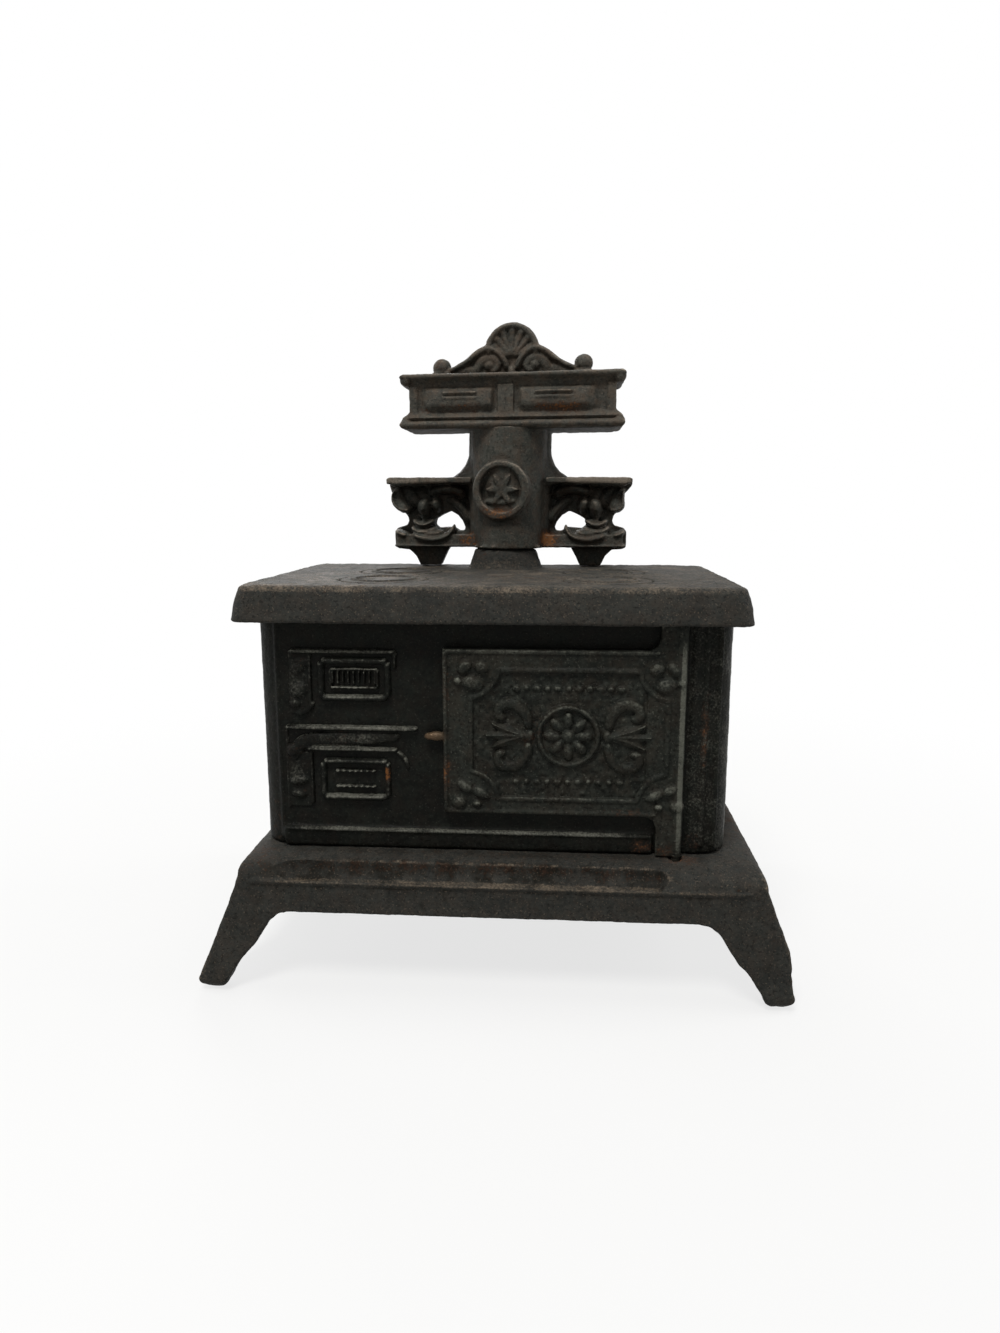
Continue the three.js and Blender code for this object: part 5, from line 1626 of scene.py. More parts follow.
@dataclass
class PipeAndBrackets(Casting):
    """The lower part of the shelf casting: the pipe with its medallion and its two scroll brackets."""

    node: str = "shelf_casting"
    finish: Finish = Finish.BROWN
    name: str = "pipe_and_brackets"
    wobble: float = 0.07
    sand: float = 0.06
    seed: int = 31
    hollow_scale: float = 0.22
    rust: Spots = (
        Spot((9.6, 18.0, 84.0), (4.2, 6.0, 3.6), 1.1), Spot((-8.2, 18.0, 84.0), (4.6, 6.0, 3.2), 0.85),
        Spot((-1.6, 9.5, 90.2), (6.0, 2.6, 2.8), 0.9), Spot((14.8, 18.0, 93.5), (6.0, 5.0, 5.0), 0.45),
        Spot((-10.8, 18.0, 93.5), (4.5, 5.0, 5.0), 0.4), Spot((22.0, 16.0, 84.5), (6.0, 4.0, 3.0), 0.4),
        Spot((-20.0, 15.0, 97.4), (10.0, 3.0, 1.8), 0.5), Spot((20.0, 15.0, 97.6), (10.0, 3.0, 1.6), 0.45),
        Spot((9.0, 15.0, 104.0), (3.0, 5.0, 6.0), 0.3), Spot((5.0, 11.5, 94.0), (2.4, 3.0, 6.0), 0.4),
    )
    # painted highlights along the rolled lips of the upper shelves
    worn_and_highlit: Spots = (
        streak((21.0, 14.8, 97.4), (8.0, 1.8, 0.9), 0.85), streak((-20.0, 14.8, 97.4), (8.0, 1.8, 0.9), 0.65),
    )
    # painted shade under the upper shelves and above the medallion
    grime_and_shade: Spots = (
        Spot((17.0, 18.0, 95.2), (9.0, 5.0, 1.7), 1.0, 4.0, 2.0),
        Spot((-15.5, 18.0, 95.2), (9.0, 5.0, 1.7), 1.0, 4.0, 2.0),
        Spot((-1.8, 10.6, 96.4), (4.4, 1.4, 3.4), 0.7, 3.0),
    )
    reach: float = 28.2
    height: float = 20.1
    plate_thick: float = 4.2
    shelf_depth: float = 10.6
    pipe_y: float = 18.3
    web_half: float = 9.9
    cut: float = 108.6
    medal_x: float = -0.5
    medal_z: float = 94.9
    medal_face: float = 10.9
    medal_turn: float = 0.14
    medal_ring: Pair = (5.45, 5.9)
    medal_bar: Pair = (0.74, 1.7)
    foot_r: float = 7.3
    foot_low: float = 82.55
    shelf_ends: Pair = (0.36, 0.985)
    shelf_lip: Pair = (0.35, 1.1)
    shelf_thick: float = 1.1
    shelf_end: Pair = (1.1, 1.5)
    lip_y: float = 0.85
    end_r: float = 1.5
    web_slim: float = 0.6
    web_fades: Sequence[Pair] = ((97.9, 5.5), (109.5, -1.5), (8.0, 1.5))
    wing_slim: float = 1.2
    wing_z: Pair = (93.6, 3.4)
    wing_fade: Pair = (19.0, 6.0)

    # Paths on a bracket: shares of its reach and height, then half width and rise in millimetres
    WING: ClassVar = (
        ((0.91, 0.90, 1.3, 1.8), (0.92, 0.815, 1.75, 3.0), (0.90, 0.73, 1.85, 4.0), (0.855, 0.665, 1.5, 4.4),
         (0.795, 0.65, 0.9, 4.2)),
        ((0.945, 0.86, 0.5, 3.2), (0.955, 0.78, 0.55, 4.1), (0.935, 0.70, 0.6, 4.7), (0.88, 0.64, 0.6, 4.8),
         (0.81, 0.635, 0.5, 4.5)),
        ((0.86, 0.90, 1.6, 1.2), (0.83, 0.81, 2.1, 1.9), (0.78, 0.745, 2.0, 2.8), (0.73, 0.71, 1.4, 3.6)),
        ((0.76, 0.895, 1.5, 1.1), (0.73, 0.83, 1.7, 1.7), (0.69, 0.78, 1.5, 2.7), (0.65, 0.76, 1.0, 3.3)),
        ((0.68, 0.89, 1.3, 1.2), (0.64, 0.855, 1.3, 1.9), (0.60, 0.83, 1.0, 2.7)),
    )
    STEM: ClassVar = (
        ((0.655, 0.79, 1.0, 3.8), (0.70, 0.70, 1.7, 4.8), (0.695, 0.62, 1.6, 4.4), (0.67, 0.565, 0.9, 3.2)),
        ((0.61, 0.80, 0.9, 3.2), (0.61, 0.72, 1.4, 4.0), (0.595, 0.65, 1.1, 3.4), (0.61, 0.59, 0.6, 2.4)),
        ((0.66, 0.81, 0.9, 2.8), (0.585, 0.86, 1.1, 3.4), (0.495, 0.875, 1.25, 3.8), (0.41, 0.845, 1.2, 3.6),
         (0.36, 0.77, 1.1, 3.0)),
        ((0.52, 0.76, 0.5, 1.2), (0.455, 0.735, 1.0, 2.4), (0.40, 0.67, 1.15, 2.6), (0.36, 0.59, 1.0, 2.2),
         (0.34, 0.49, 0.8, 1.8)),
    )
    COLUMN: ClassVar = (
        ((0.71, 0.62, 1.8, 2.6), (0.715, 0.52, 1.9, 2.8), (0.72, 0.42, 2.3, 3.0)),
        ((0.80, 0.525, 0.55, 2.8), (0.74, 0.475, 0.75, 3.8), (0.68, 0.475, 0.75, 3.8),
         (0.62, 0.52, 0.55, 2.8)),
        ((0.815, 0.445, 0.55, 3.4), (0.75, 0.395, 0.8, 4.3), (0.67, 0.395, 0.8, 4.3),
         (0.60, 0.435, 0.55, 3.6)),
    )
    BOAT: ClassVar = (
        ((0.80, 0.39, 0.6, 4.2), (0.745, 0.335, 1.1, 4.9), (0.655, 0.31, 1.25, 5.1), (0.57, 0.315, 1.1, 5.1),
         (0.50, 0.355, 0.9, 4.9), (0.465, 0.42, 0.65, 4.4), (0.462, 0.475, 0.4, 4.0)),
        ((0.72, 0.375, 0.9, 4.2), (0.62, 0.37, 1.0, 4.5), (0.54, 0.39, 0.6, 4.2)),
        ((0.945, 0.405, 0.6, 4.2), (0.89, 0.365, 0.85, 4.6), (0.825, 0.345, 0.7, 4.5)),
        ((0.95, 0.235, 0.45, 4.2), (0.65, 0.235, 0.5, 4.45), (0.30, 0.235, 0.45, 4.1)),
    )
    PALMETTE: ClassVar = ((90, 3.9), (128, 3.6), (52, 3.6), (162, 3.2), (18, 3.2))
    CHIPS: ClassVar = ((-7.0, 0.9), (-5.0, 1.5), (-2.9, 0.9), (6.4, 1.0))
    SHELF_LIP: ClassVar = ((0.42, 0.972, 0.5, 1.0), (0.60, 0.962, 0.7, 1.0), (0.80, 0.955, 0.85, 1.0),
                           (0.955, 0.94, 1.15, 1.0))

    def __post_init__(self) -> None:
        """Takes the places of the pipe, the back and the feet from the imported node."""
        low, high = node_box(self.node)
        self.middle_x = float(low[0] + high[0]) / 2
        self.back_y = float(high[1])
        self.foot_z = float(low[2])
        self.face = self.back_y - self.plate_thick

    def drawn(self, side: int, path: Rows, face: float) -> Solid:
        """Lays a bar on a bracket.

        Args:
            side: -1 for the left bracket and 1 for the right one.
            path: Shares of the bracket's reach and height, then half width and rise, at each point.
            face: The Y of the face that it lies on.

        Returns:
            The closed shell.
        """
        return band([(self.middle_x + side * self.reach * across, self.foot_z + self.height * up, half, rise)
                     for across, up, half, rise in path], face)

    def bracket(self, side: int) -> list[Solid]:
        """Models one bracket.

        Args:
            side: -1 for the left bracket and 1 for the right one.

        Returns:
            Its wing, its stem, its column, the curl on its lower shelf and the rolled edge of its upper one.
        """
        inner_x, outer_x = (self.middle_x + side * self.reach * share for share in self.shelf_ends)
        top_z, front = self.foot_z + self.height, self.back_y - self.shelf_depth
        low, high = sorted((inner_x, outer_x))
        end_wide, end_tall = self.shelf_end
        end_low, end_high = sorted((outer_x - side * end_wide, outer_x))
        lip_front, lip_back = (front + depth for depth in self.shelf_lip)
        paths = (*self.WING, *self.STEM, *self.COLUMN, *self.BOAT)
        return [
            *(self.drawn(side, path, self.face) for path in paths),
            block((low, lip_front, top_z - self.shelf_thick), (high, lip_back, top_z)),
            self.drawn(side, self.SHELF_LIP, front + self.lip_y),
            block((end_low, lip_front, top_z - end_tall), (end_high, self.back_y, top_z)),
        ]

    def flanks(self) -> list[Solid]:
        """Fills the space between the pipe's sides and the web behind it, with the shoulders on the shelves.

        Returns:
            The closed solids.
        """
        sections = ((82.6, 7.5, 9.0), (90.0, 7.8, 9.3), (96.2, 8.1, 9.6), (96.8, 8.15, 13.6),
                    (98.0, 8.2, 13.2),
                    (99.3, 8.25, 11.6), (100.8, 8.3, 10.6), (103.0, 8.4, 10.05),
                    (self.cut, 8.65, self.web_half))
        parts = []
        for side in SIDES:
            rings = []
            for z, radius, wide in sections:
                plan = ((radius * 0.62, self.pipe_y - radius * 0.75),
                        (radius * 0.97, self.pipe_y - radius * 0.22),
                        (wide * 0.97, self.pipe_y + 0.9), (wide, self.pipe_y + 2.4), (wide, self.back_y),
                        (radius * 0.9, self.back_y), (radius * 0.9, self.pipe_y))
                rings.append([(self.middle_x + side * across, y, z) for across, y in plan][::side])
            parts.append(rings_to_solid(np.array(rings, float)))
        return parts

    def medallion(self) -> list[Solid]:
        """Models the round moulding on the pipe and the palmette inside it.

        Returns:
            The closed solids.
        """
        x, z, face = self.middle_x + self.medal_x, self.medal_z, self.medal_face
        heart = z - 0.9
        parts = [hoop(x, z, self.medal_ring, *self.medal_bar, face), boss(x, heart, face, (1.0, 0.9, 1.1))]
        for angle, long in self.PALMETTE:
            across, up = math.cos(math.radians(angle)), math.sin(math.radians(angle))
            root, tip = ((x + run * across, heart + run * up) for run in (0.5, long))
            parts += leaf(root, tip, 1.5, 0.85, face)
        foot = [(x - 3.4, z - 2.2, 0.5, 0.6), (x, z - 2.6, 0.75, 0.9), (x + 3.4, z - 2.2, 0.5, 0.6)]
        return [*parts, band(foot, face)]

    def foot(self) -> list[Solid]:
        """Models the uneven lumps where the pipe's foot has chipped.

        Returns:
            The closed solids.
        """
        places = ((across, self.pipe_y - math.sqrt(self.foot_r ** 2 - across ** 2), wide)
                  for across, wide in self.CHIPS)
        return [ball((self.middle_x + across, y, self.foot_low), (wide, 0.7, 0.38))
                for across, y, wide in places]

    def solids(self) -> list[Solid]:
        """Returns the closed solids that the pipe and its brackets are run together from."""
        lower = sliced(node_solid(self.node), self.foot_z - 1.0, self.cut)
        return [lower, *self.flanks(), *self.medallion(), *self.foot(), *self.bracket(-1), *self.bracket(1)]

    def worked(self, skin: Skin) -> None:
        """Rounds the shelves' ends, slims the web and the right wing, and turns the medallion.

        Args:
            skin: The casting's skin.
        """
        x, y, z = skin.points.T.copy()
        round_corner(skin, self.middle_x, self.reach, self.foot_z + self.height, self.end_r)
        side = np.sign(x - self.middle_x)
        across, ahead = np.abs(x - self.middle_x), self.pipe_y - y
        web = math.prod(fade(values, *span) for values, span in zip((z, z, across), self.web_fades))
        wing = eased(1 - np.abs(z - self.wing_z[0]) / self.wing_z[1])
        wing *= fade(across, *self.wing_fade) * (side > 0)
        skin.points[:, 0] -= side * (self.web_slim * web + self.wing_slim * wing)
        angle = np.arctan2(x - self.middle_x, ahead)
        near = fade(np.abs(angle), 1.3, -0.4) * fade(np.abs(z - self.medal_z), 9.0, -2.5)
        turn, radius = angle - self.medal_turn * near, np.hypot(across, ahead)
        skin.points[:, 0] = np.where(near > 0, self.middle_x + radius * np.sin(turn), skin.points[:, 0])
        skin.points[:, 1] = np.where(near > 0, self.pipe_y - radius * np.cos(turn), skin.points[:, 1])


@dataclass
class ClosetAndCrest(Casting):
    """The upper part of the shelf casting: the warming closet with its drawers, and the crest on it."""

    node: str = "shelf_casting"
    finish: Finish = Finish.UMBER
    name: str = "closet_and_crest"
    wobble: float = 0.07
    sand: float = 0.06
    seed: int = 35
    hollow_scale: float = 0.19
    rust: Spots = (
        Spot((12.5, 10.0, 112.6), (9.5, 2.4, 2.0), 1.0), Spot((-9.0, 10.0, 112.4), (9.0, 2.4, 1.7), 0.75),
        Spot((-17.6, 10.6, 112.2), (2.0, 2.2, 1.6), 0.7), Spot((-15.2, 22.0, 123.2), (3.2, 4.0, 3.0), 0.55),
        Spot((0.5, 10.0, 114.6), (2.4, 2.2, 4.5), 0.4), Spot((12.0, 9.0, 110.2), (14.0, 2.2, 1.2), 0.45),
        Spot((-12.0, 10.0, 108.6), (12.0, 3.0, 1.6), 0.4), Spot((12.0, 9.6, 115.8), (7.0, 2.0, 1.8), 0.35),
    )
    shift: float = 1.0
    half_width: float = 22.4
    depth: float = 14.1
    height: float = 11.7
    wall: float = 1.8
    shelf_thick: float = 1.6
    case_sink: float = 0.35
    roll_r: float = 1.25
    end_r: float = 1.3
    lean: float = 0.008
    pilaster_shift: float = -1.4
    crest_shift: float = -0.6
    crest_lean: float = 0.007
    crest_height: float = 12.2
    crest_half: float = 17.6
    crest_thick: float = 3.4
    shell_r: float = 6.2
    shell_ribs: int = 7
    finial_x: float = 16.15
    ball_drop: float = 0.4

    LOWER_MOULDING: ClassVar = (
        (0.0, 1.3), (0.25, 1.8), (0.8, 2.15), (1.4, 2.0), (1.7, 1.2), (1.9, 0.6), (2.1, 0.7), (2.35, 1.6),
        (2.7, 1.3),
        (3.3, 0.6), (3.8, 0.1),
    )
    UPPER_MOULDING: ClassVar = (
        (-3.2, 0.1), (-2.5, 0.15), (-1.9, 0.35), (-1.4, 0.8), (-1.15, 1.4), (-1.0, 1.95), (-0.6, 2.15),
        (-0.25, 2.05),
        (0.0, 1.6),
    )
    SHOULDER: ClassVar = (
        (1.0, -0.08), (1.0, 0.17), (0.79, 0.18), (0.68, 0.26), (0.57, 0.37), (0.45, 0.5), (0.36, 0.57),
    )
    RIB: ClassVar = ((0.0, 0.35, 0.9), (0.35, 0.5, 0.95), (0.7, 0.72, 0.8), (1.0, 0.95, 1.1))
    SCROLLS: ClassVar = (
        ((14.6, 1.9, 0.55, 0.9), (12.4, 2.75, 0.64, 1.2), (10.0, 4.05, 0.72, 1.4), (7.9, 5.6, 0.76, 1.45),
         (6.0, 6.5, 0.76, 1.5), (4.4, 6.4, 0.74, 1.5), (2.9, 5.4, 0.72, 1.5), (1.7, 3.8, 0.7, 1.4),
         (1.0, 2.0, 0.66, 1.2)),
        ((8.2, 0.9, 0.8, 0.5), (7.9, 2.6, 1.1, 0.75), (6.4, 4.3, 1.25, 0.95), (4.5, 4.5, 1.1, 1.0),
         (3.3, 3.2, 0.95, 1.0), (3.9, 1.9, 0.8, 1.0), (5.2, 1.9, 0.7, 1.0)),
        ((8.4, 1.0, 0.9, 0.45), (9.6, 2.2, 1.1, 0.6), (11.6, 1.8, 0.8, 0.5), (13.2, 1.2, 0.5, 0.4)),
    )

    def __post_init__(self) -> None:
        """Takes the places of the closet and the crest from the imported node."""
        low, high = node_box(self.node)
        self.x = float(low[0] + high[0]) / 2 + self.shift
        self.back_y = float(high[1])
        self.front_y = self.back_y - self.depth
        self.face = self.front_y + self.case_sink
        self.top_z = float(high[2])
        self.crest_z = self.top_z - self.crest_height
        self.low_z = self.crest_z - self.height
        self.crest_x = self.x + self.crest_shift
        self.crest_face = self.back_y - self.crest_thick

    def case(self) -> list[Solid]:
        """Builds the closet's walls with the mouldings along its upper and lower edges.

        Returns:
            The closed solids.
        """
        low, high = self.low_z, self.crest_z
        rows = [(low + up, reach) for up, reach in self.LOWER_MOULDING]
        rows += [(high + up, reach) for up, reach in self.UPPER_MOULDING]
        inner, thick = self.half_width - self.wall, self.shelf_thick
        shelves = [
            block((self.x - inner - 0.5, self.front_y + 0.5, bottom),
                  (self.x + inner + 0.5, self.back_y, bottom + thick))
            for bottom in (low, high - thick)
        ]
        return [tray(rows, self.x, self.half_width, self.face, self.back_y, self.wall), *shelves]

    def rolls(self) -> list[Solid]:
        """Turns the round bars along the closet's two ends, which close its mouldings off.

        Returns:
            The closed solids.
        """
        radius, front = self.roll_r, self.front_y - 1.6
        profile = [(radius * math.sin(a), front + radius * (1 - math.cos(a)))
                   for a in np.linspace(0.25, math.pi / 2, 5)]
        profile.append((radius, self.back_y))
        reach = self.half_width + 2.1 - radius
        return [turned(profile, (self.x + side * reach, 0, z), "y", 20)
                for side in SIDES for z in (self.low_z + radius, self.crest_z - radius)]

    def drawers(self) -> list[Solid]:
        """Models the two swelling drawer fronts with their pulls, and the strips beside them.

        Returns:
            The closed solids.
        """
        face, low, high = self.face, self.low_z + 3.45, self.crest_z - 2.95
        middle = self.x + self.pilaster_shift
        parts = [
            cushion((middle - 18.3, low), (middle - 2.5, high), 1.6, (2.4, 0.7), face),
            cushion((middle + 2.8, low), (middle + 20.2, high), 1.6, (0.7, 2.4), face),
            block((middle - 1.75, face - 0.85, low - 0.3), (middle + 1.75, face + ROOT, high + 0.6)),
        ]
        for side in SIDES:
            near, far = sorted(self.x + side * (self.half_width + out) for out in (0.1, -1.7))
            parts.append(block((near, face - 0.6, low - 0.3), (far, face + ROOT, high + 0.4)))
        for x0, x1 in ((middle - 13.6, middle - 6.2), (middle + 6.3, middle + 14.4)):
            for z, half, rise in ((115.85, 0.34, 0.62), (114.75, 0.3, 0.42)):
                parts.append(bar((x0, z), (x1, z), half, rise, face - 1.45, 0.05))
        return parts

    def crest_plate(self) -> Solid:
        """Builds the crest's plate, with the shell's round top between two ogee shoulders.

        Returns:
            The closed shell.
        """
        x, z, radius = self.crest_x, self.crest_z, self.shell_r
        hub = self.top_z - radius
        right = [(self.crest_half * across, z + self.crest_height * up) for across, up in self.SHOULDER]
        right += [(radius * math.cos(a), hub + radius * math.sin(a))
                  for a in np.linspace(0.18, math.pi / 2, 9)]
        outline = [(x + across, up) for across, up in right]
        outline += [(x - across, up) for across, up in right[-2::-1]]
        return upright_prism(outline, self.crest_face, self.back_y)

    def shell(self) -> list[Solid]:
        """Models the shell in the middle of the crest, with its rim and its ribs.

        Returns:
            The closed solids.
        """
        face, x, heart, hub, radius = self.crest_face, self.crest_x, self.top_z - 7.4, self.top_z - 6.05, 5.35
        arc = [(x + radius * math.cos(a), hub + radius * math.sin(a), 0.75, 1.3)
               for a in np.linspace(-0.2, math.pi + 0.2, 30)]
        parts = [band(arc, face, eased_through=False)]
        for number in range(self.shell_ribs):
            angle = math.pi * (number + 0.5) / self.shell_ribs
            tip = np.array([x + (radius - 0.1) * math.cos(angle), hub + (radius - 0.1) * math.sin(angle)])
            base = np.array([x + 0.45 * math.cos(angle), heart])
            path = [(*(base + (tip - base) * share), half, rise) for share, half, rise in self.RIB]
            parts.append(band(path, face, eased_through=False))
        return parts

    def scrolls(self) -> list[Solid]:
        """Models the rolled bands that run from the finials up and over into the middle, with their leaves.

        Returns:
            The closed solids.
        """
        face, x, z = self.crest_face, self.crest_x, self.crest_z
        parts = [boss(x, z + 1.2, face, (1.0, 1.35, 1.8))]
        for side in SIDES:
            parts.append(boss(x + side * 5.1, z + 3.0, face, (1.25, 1.15, 1.25)))
            for path in self.SCROLLS:
                parts.append(band([(x + side * a, z + up, half, rise) for a, up, half, rise in path], face))
        return parts

    def finials(self) -> list[Solid]:
        """Models the ball finials on their blocks, of which the left ball sits a little lower.

        Returns:
            The closed solids.
        """
        parts = []
        for side, drop in zip(SIDES, (self.ball_drop, 0.0)):
            x, y, z = self.crest_x + side * self.finial_x, self.back_y - 2.25, self.crest_z
            parts.append(ball((x, y, z + 3.2 - drop), (2.15, 2.15, 2.1)))
            parts.append(block((x - 2.15, y - 1.9, z - 0.4), (x + 2.15, self.back_y - 0.1, z + 1.75)))
        return parts

    def solids(self) -> list[Solid]:
        """Models everything that the closet and its crest are run together from.

        Returns:
            The closed solids.
        """
        return [*self.case(), *self.rolls(), *self.drawers(), self.crest_plate(), *self.shell(),
                *self.scrolls(),
                *self.finials()]

    def worked(self, skin: Skin) -> None:
        """Rounds the ends of the mouldings, and leans the closet and more so the crest, as the casting does.

        Args:
            skin: The casting's skin.
        """
        reach = self.half_width + 2.15
        round_corner(skin, self.x, reach, self.crest_z, self.end_r)
        round_corner(skin, self.x, reach, self.low_z, -self.end_r)
        share = np.clip((skin.points[:, 2] - self.low_z) / (self.crest_z - self.low_z), 0, 1)
        skin.points[:, 2] += (self.lean + self.crest_lean * share) * (skin.points[:, 0] - self.x)


@dataclass
class BaseCasting(Casting):
    """The hearth plate with its aprons and four flared legs."""

    node: str = "base_casting"
    voxel: float = 0.34
    soft: int = 4
    wobble: float = 0.08
    sand: float = 0.07
    seed: int = 41
    hollow_scale: float = 0.12
    rust: Spots = (
        Spot((50.0, 2.0, 22.0), (8.0, 30.0, 12.0), 0.55), Spot((-46.0, -29.0, 24.8), (9.0, 7.0, 4.0), 0.45),
        Spot((-8.0, -31.9, 24.6), (36.0, 2.2, 1.6), 0.42, 4.0),
        Spot((24.0, -31.6, 24.2), (12.0, 2.4, 2.0), 0.3),
        Spot((36.0, -27.5, 26.0), (6.0, 4.0, 2.0), 0.65), Spot((0.0, -28.0, 26.0), (44.0, 3.5, 1.0), 0.25),
    )
    # a painted highlight along the ridge at the apron's top, and the right end painted lighter as if lit from
    # the side
    worn_and_highlit: Spots = (
        streak((1.0, -34.2, 22.0), (48.5, 2.4, 0.34), 0.5), Spot((52.0, 0.0, 21.0), (7.0, 36.0, 8.0), 0.45),
    )
    # painted shade in the groove along the apron and at the foot of the front wall, with dirt
    grime_and_shade: Spots = (
        Spot((-5.4, -32.2, 23.9), (41.0, 2.8, 1.9), 1.0, 4.0, 3.0),
        Spot((0.0, -27.0, 25.9), (46.0, 1.6, 0.8), 0.6, 4.0),
    )
    edging: Rows = tuple((x, 21.9, 0.45, 0.65) for x in (-46.5, -20.0, 0.0, 20.0, 46.5))
    edging_face: float = -33.55
    groove_y: float = -33.35
    groove_z: float = 24.4
    groove_r: float = 2.4
    groove_left: Pair = (-45.5, 8.0)
    groove_right: Pair = (34.2, -2.4)
    foot: Triple = (53.8, 33.3, 2.9)
    foot_rounding: float = 0.86
    flare: Pair = (0.34, 0.12)
    left_shift: float = 1.2
    left_fade: Pair = (-30.0, -14.0)
    right_growth: float = 2.4
    right_flare: float = 0.62

    def solids(self) -> list[Solid]:
        """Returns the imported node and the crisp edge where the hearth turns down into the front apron."""
        return [node_solid(self.node), band(self.edging, self.edging_face)]

    def worked(self, skin: Skin) -> None:
        """Lets the groove run out softly at its ends, rounds the feet, and makes the right end stouter.

        Args:
            skin: The casting's skin.
        """
        x, y, z = skin.points.T.copy()
        ends = (np.clip((x - start) / run, 0, 1) for start, run in (self.groove_left, self.groove_right))
        radius = self.groove_r * eased(np.minimum(*ends))
        out, up = y - self.groove_y, z - self.groove_z
        away = np.hypot(out, up) + 1e-9
        push = np.where(away < radius, radius / away, 1.0)
        skin.points[:, 1] = self.groove_y + out * push
        skin.points[:, 2] = self.groove_z + up * push
        foot_x, foot_y, round_z = self.foot
        low = np.clip(1 - z / round_z, 0, 1)
        narrow = np.sqrt(1 - self.foot_rounding * low * low)
        for axis, place, reach in ((0, x, foot_x), (1, y, foot_y)):
            middle = np.sign(place) * (reach - self.flare[axis] * z)
            skin.points[:, axis] = np.where(low > 0, middle + (place - middle) * narrow, skin.points[:, axis])
        skin.points[:, 0] += self.left_shift * fade(x, *self.left_fade)
        outer_side = fade(x - (foot_x - self.right_flare * z), -1.0, 6.0)
        skin.points[:, 0] += self.right_growth * outer_side * fade(z, 2.0, 10.0)


@dataclass
class HobPlate(Casting):
    """The hob plate with its hanging skirt and the collar for the pipe."""

    node: str = "top_plate"
    voxel: float = 0.32
    soft: int = 3
    wobble: float = 0.08
    sand: float = 0.08
    seed: int = 51
    edge_scale: float = 0.3
    hollow_scale: float = 0.7
    # rubbing with a painted highlight along the front of the top, and rubbing specks over the whole top
    worn_and_highlit: Spots = (
        streak((0.0, -29.0, 77.3), (52.0, 2.6, 1.1), 0.45),
        streak((0.0, -4.0, 78.2), (60.0, 40.0, 1.6), 0.36),
    )
    rust: Spots = (
        Spot((-30.0, -28.0, 77.5), (24.0, 5.0, 1.4), 0.4), Spot((10.0, -10.0, 77.6), (34.0, 20.0, 1.0), 0.35),
        Spot((-6.0, 12.0, 81.0), (4.0, 4.0, 3.0), 0.5), Spot((30.0, -30.5, 73.0), (14.0, 2.0, 2.0), 0.3),
    )
    rim_half: Pair = (42.5, 25.8)
    rim_fade: float = 1.5
    rim_z: Pair = (75.0, 1.5)
    rim_passes: int = 20
    left_growth: float = 1.1
    right_growth: float = 0.5
    growth_fade: Pair = (34.0, 12.0)
    skirt_drop: float = 0.7
    skirt_fade: Pair = (74.4, -2.4)

    def worked(self, skin: Skin) -> None:
        """Rounds the upper edge, and lets the skirt hang lower and reach wider, more so at the left.

        Args:
            skin: The plate's skin.
        """
        x, y, z = skin.points.T.copy()
        rim = np.maximum(np.abs(x) - self.rim_half[0], np.abs(y) - self.rim_half[1])
        share = (fade(rim, 0.0, self.rim_fade) * fade(z, *self.rim_z))[:, None]
        skin.points = skin.points + (skin.around(skin.points, self.rim_passes) - skin.points) * share
        skin.points[:, 0] -= self.left_growth * fade(-x, *self.growth_fade)
        skin.points[:, 0] += self.right_growth * fade(x, *self.growth_fade)
        skin.points[:, 2] -= self.skirt_drop * fade(z, *self.skirt_fade)


@dataclass
class Lid(Casting):
    """A loose stove lid."""

    voxel: float = 0.22
    soft: int = 1
    wobble: float = 0.03
    edge_scale: float = 0.6
    hollow_scale: float = 1.2
    worn_and_highlit: Spots = (streak((0.0, -4.0, 78.2), (60.0, 40.0, 1.6), 0.36),)


@dataclass
class Wall(Casting):
    """A plain wall between the hearth and the hob."""

    finish: Finish = Finish.BLACK
    voxel: float = 0.42
    wobble: float = 0.08
    sand: float = 0.07
    rust: Spots = (Spot((0, 0, 30.0), (60.0, 40.0, 6.0), 0.35),)


@dataclass
class Fastener(Casting):
    """A screw, a bolt or a nut."""

    finish: Finish = Finish.STEEL
    voxel: float = 0.14
    soft: int = 1
    wobble: float = 0.0
    sand: float = 0.012


# Studio


@dataclass(frozen=True)
class Lamp:
    """A square soft lamp, with its place and the side of its square in metres and its power in watts."""

    name: str
    place: Triple
    size: float
    energy: float
    colour: Triple = (1.0, 1.0, 1.0)

    def hang(self, aim: Triple) -> None:
        """Hangs the lamp.

        Args:
            aim: The point that it faces, in metres.
        """
        data = bpy.data.lights.new(self.name, "AREA")
        data.shape = "SQUARE"
        data.size = self.size
        data.energy = self.energy
        data.color = self.colour
        lamp = put(self.name, data)
        lamp.location = self.place
        lamp.rotation_euler = (Vector(aim) - Vector(self.place)).to_track_quat("-Z", "Y").to_euler()


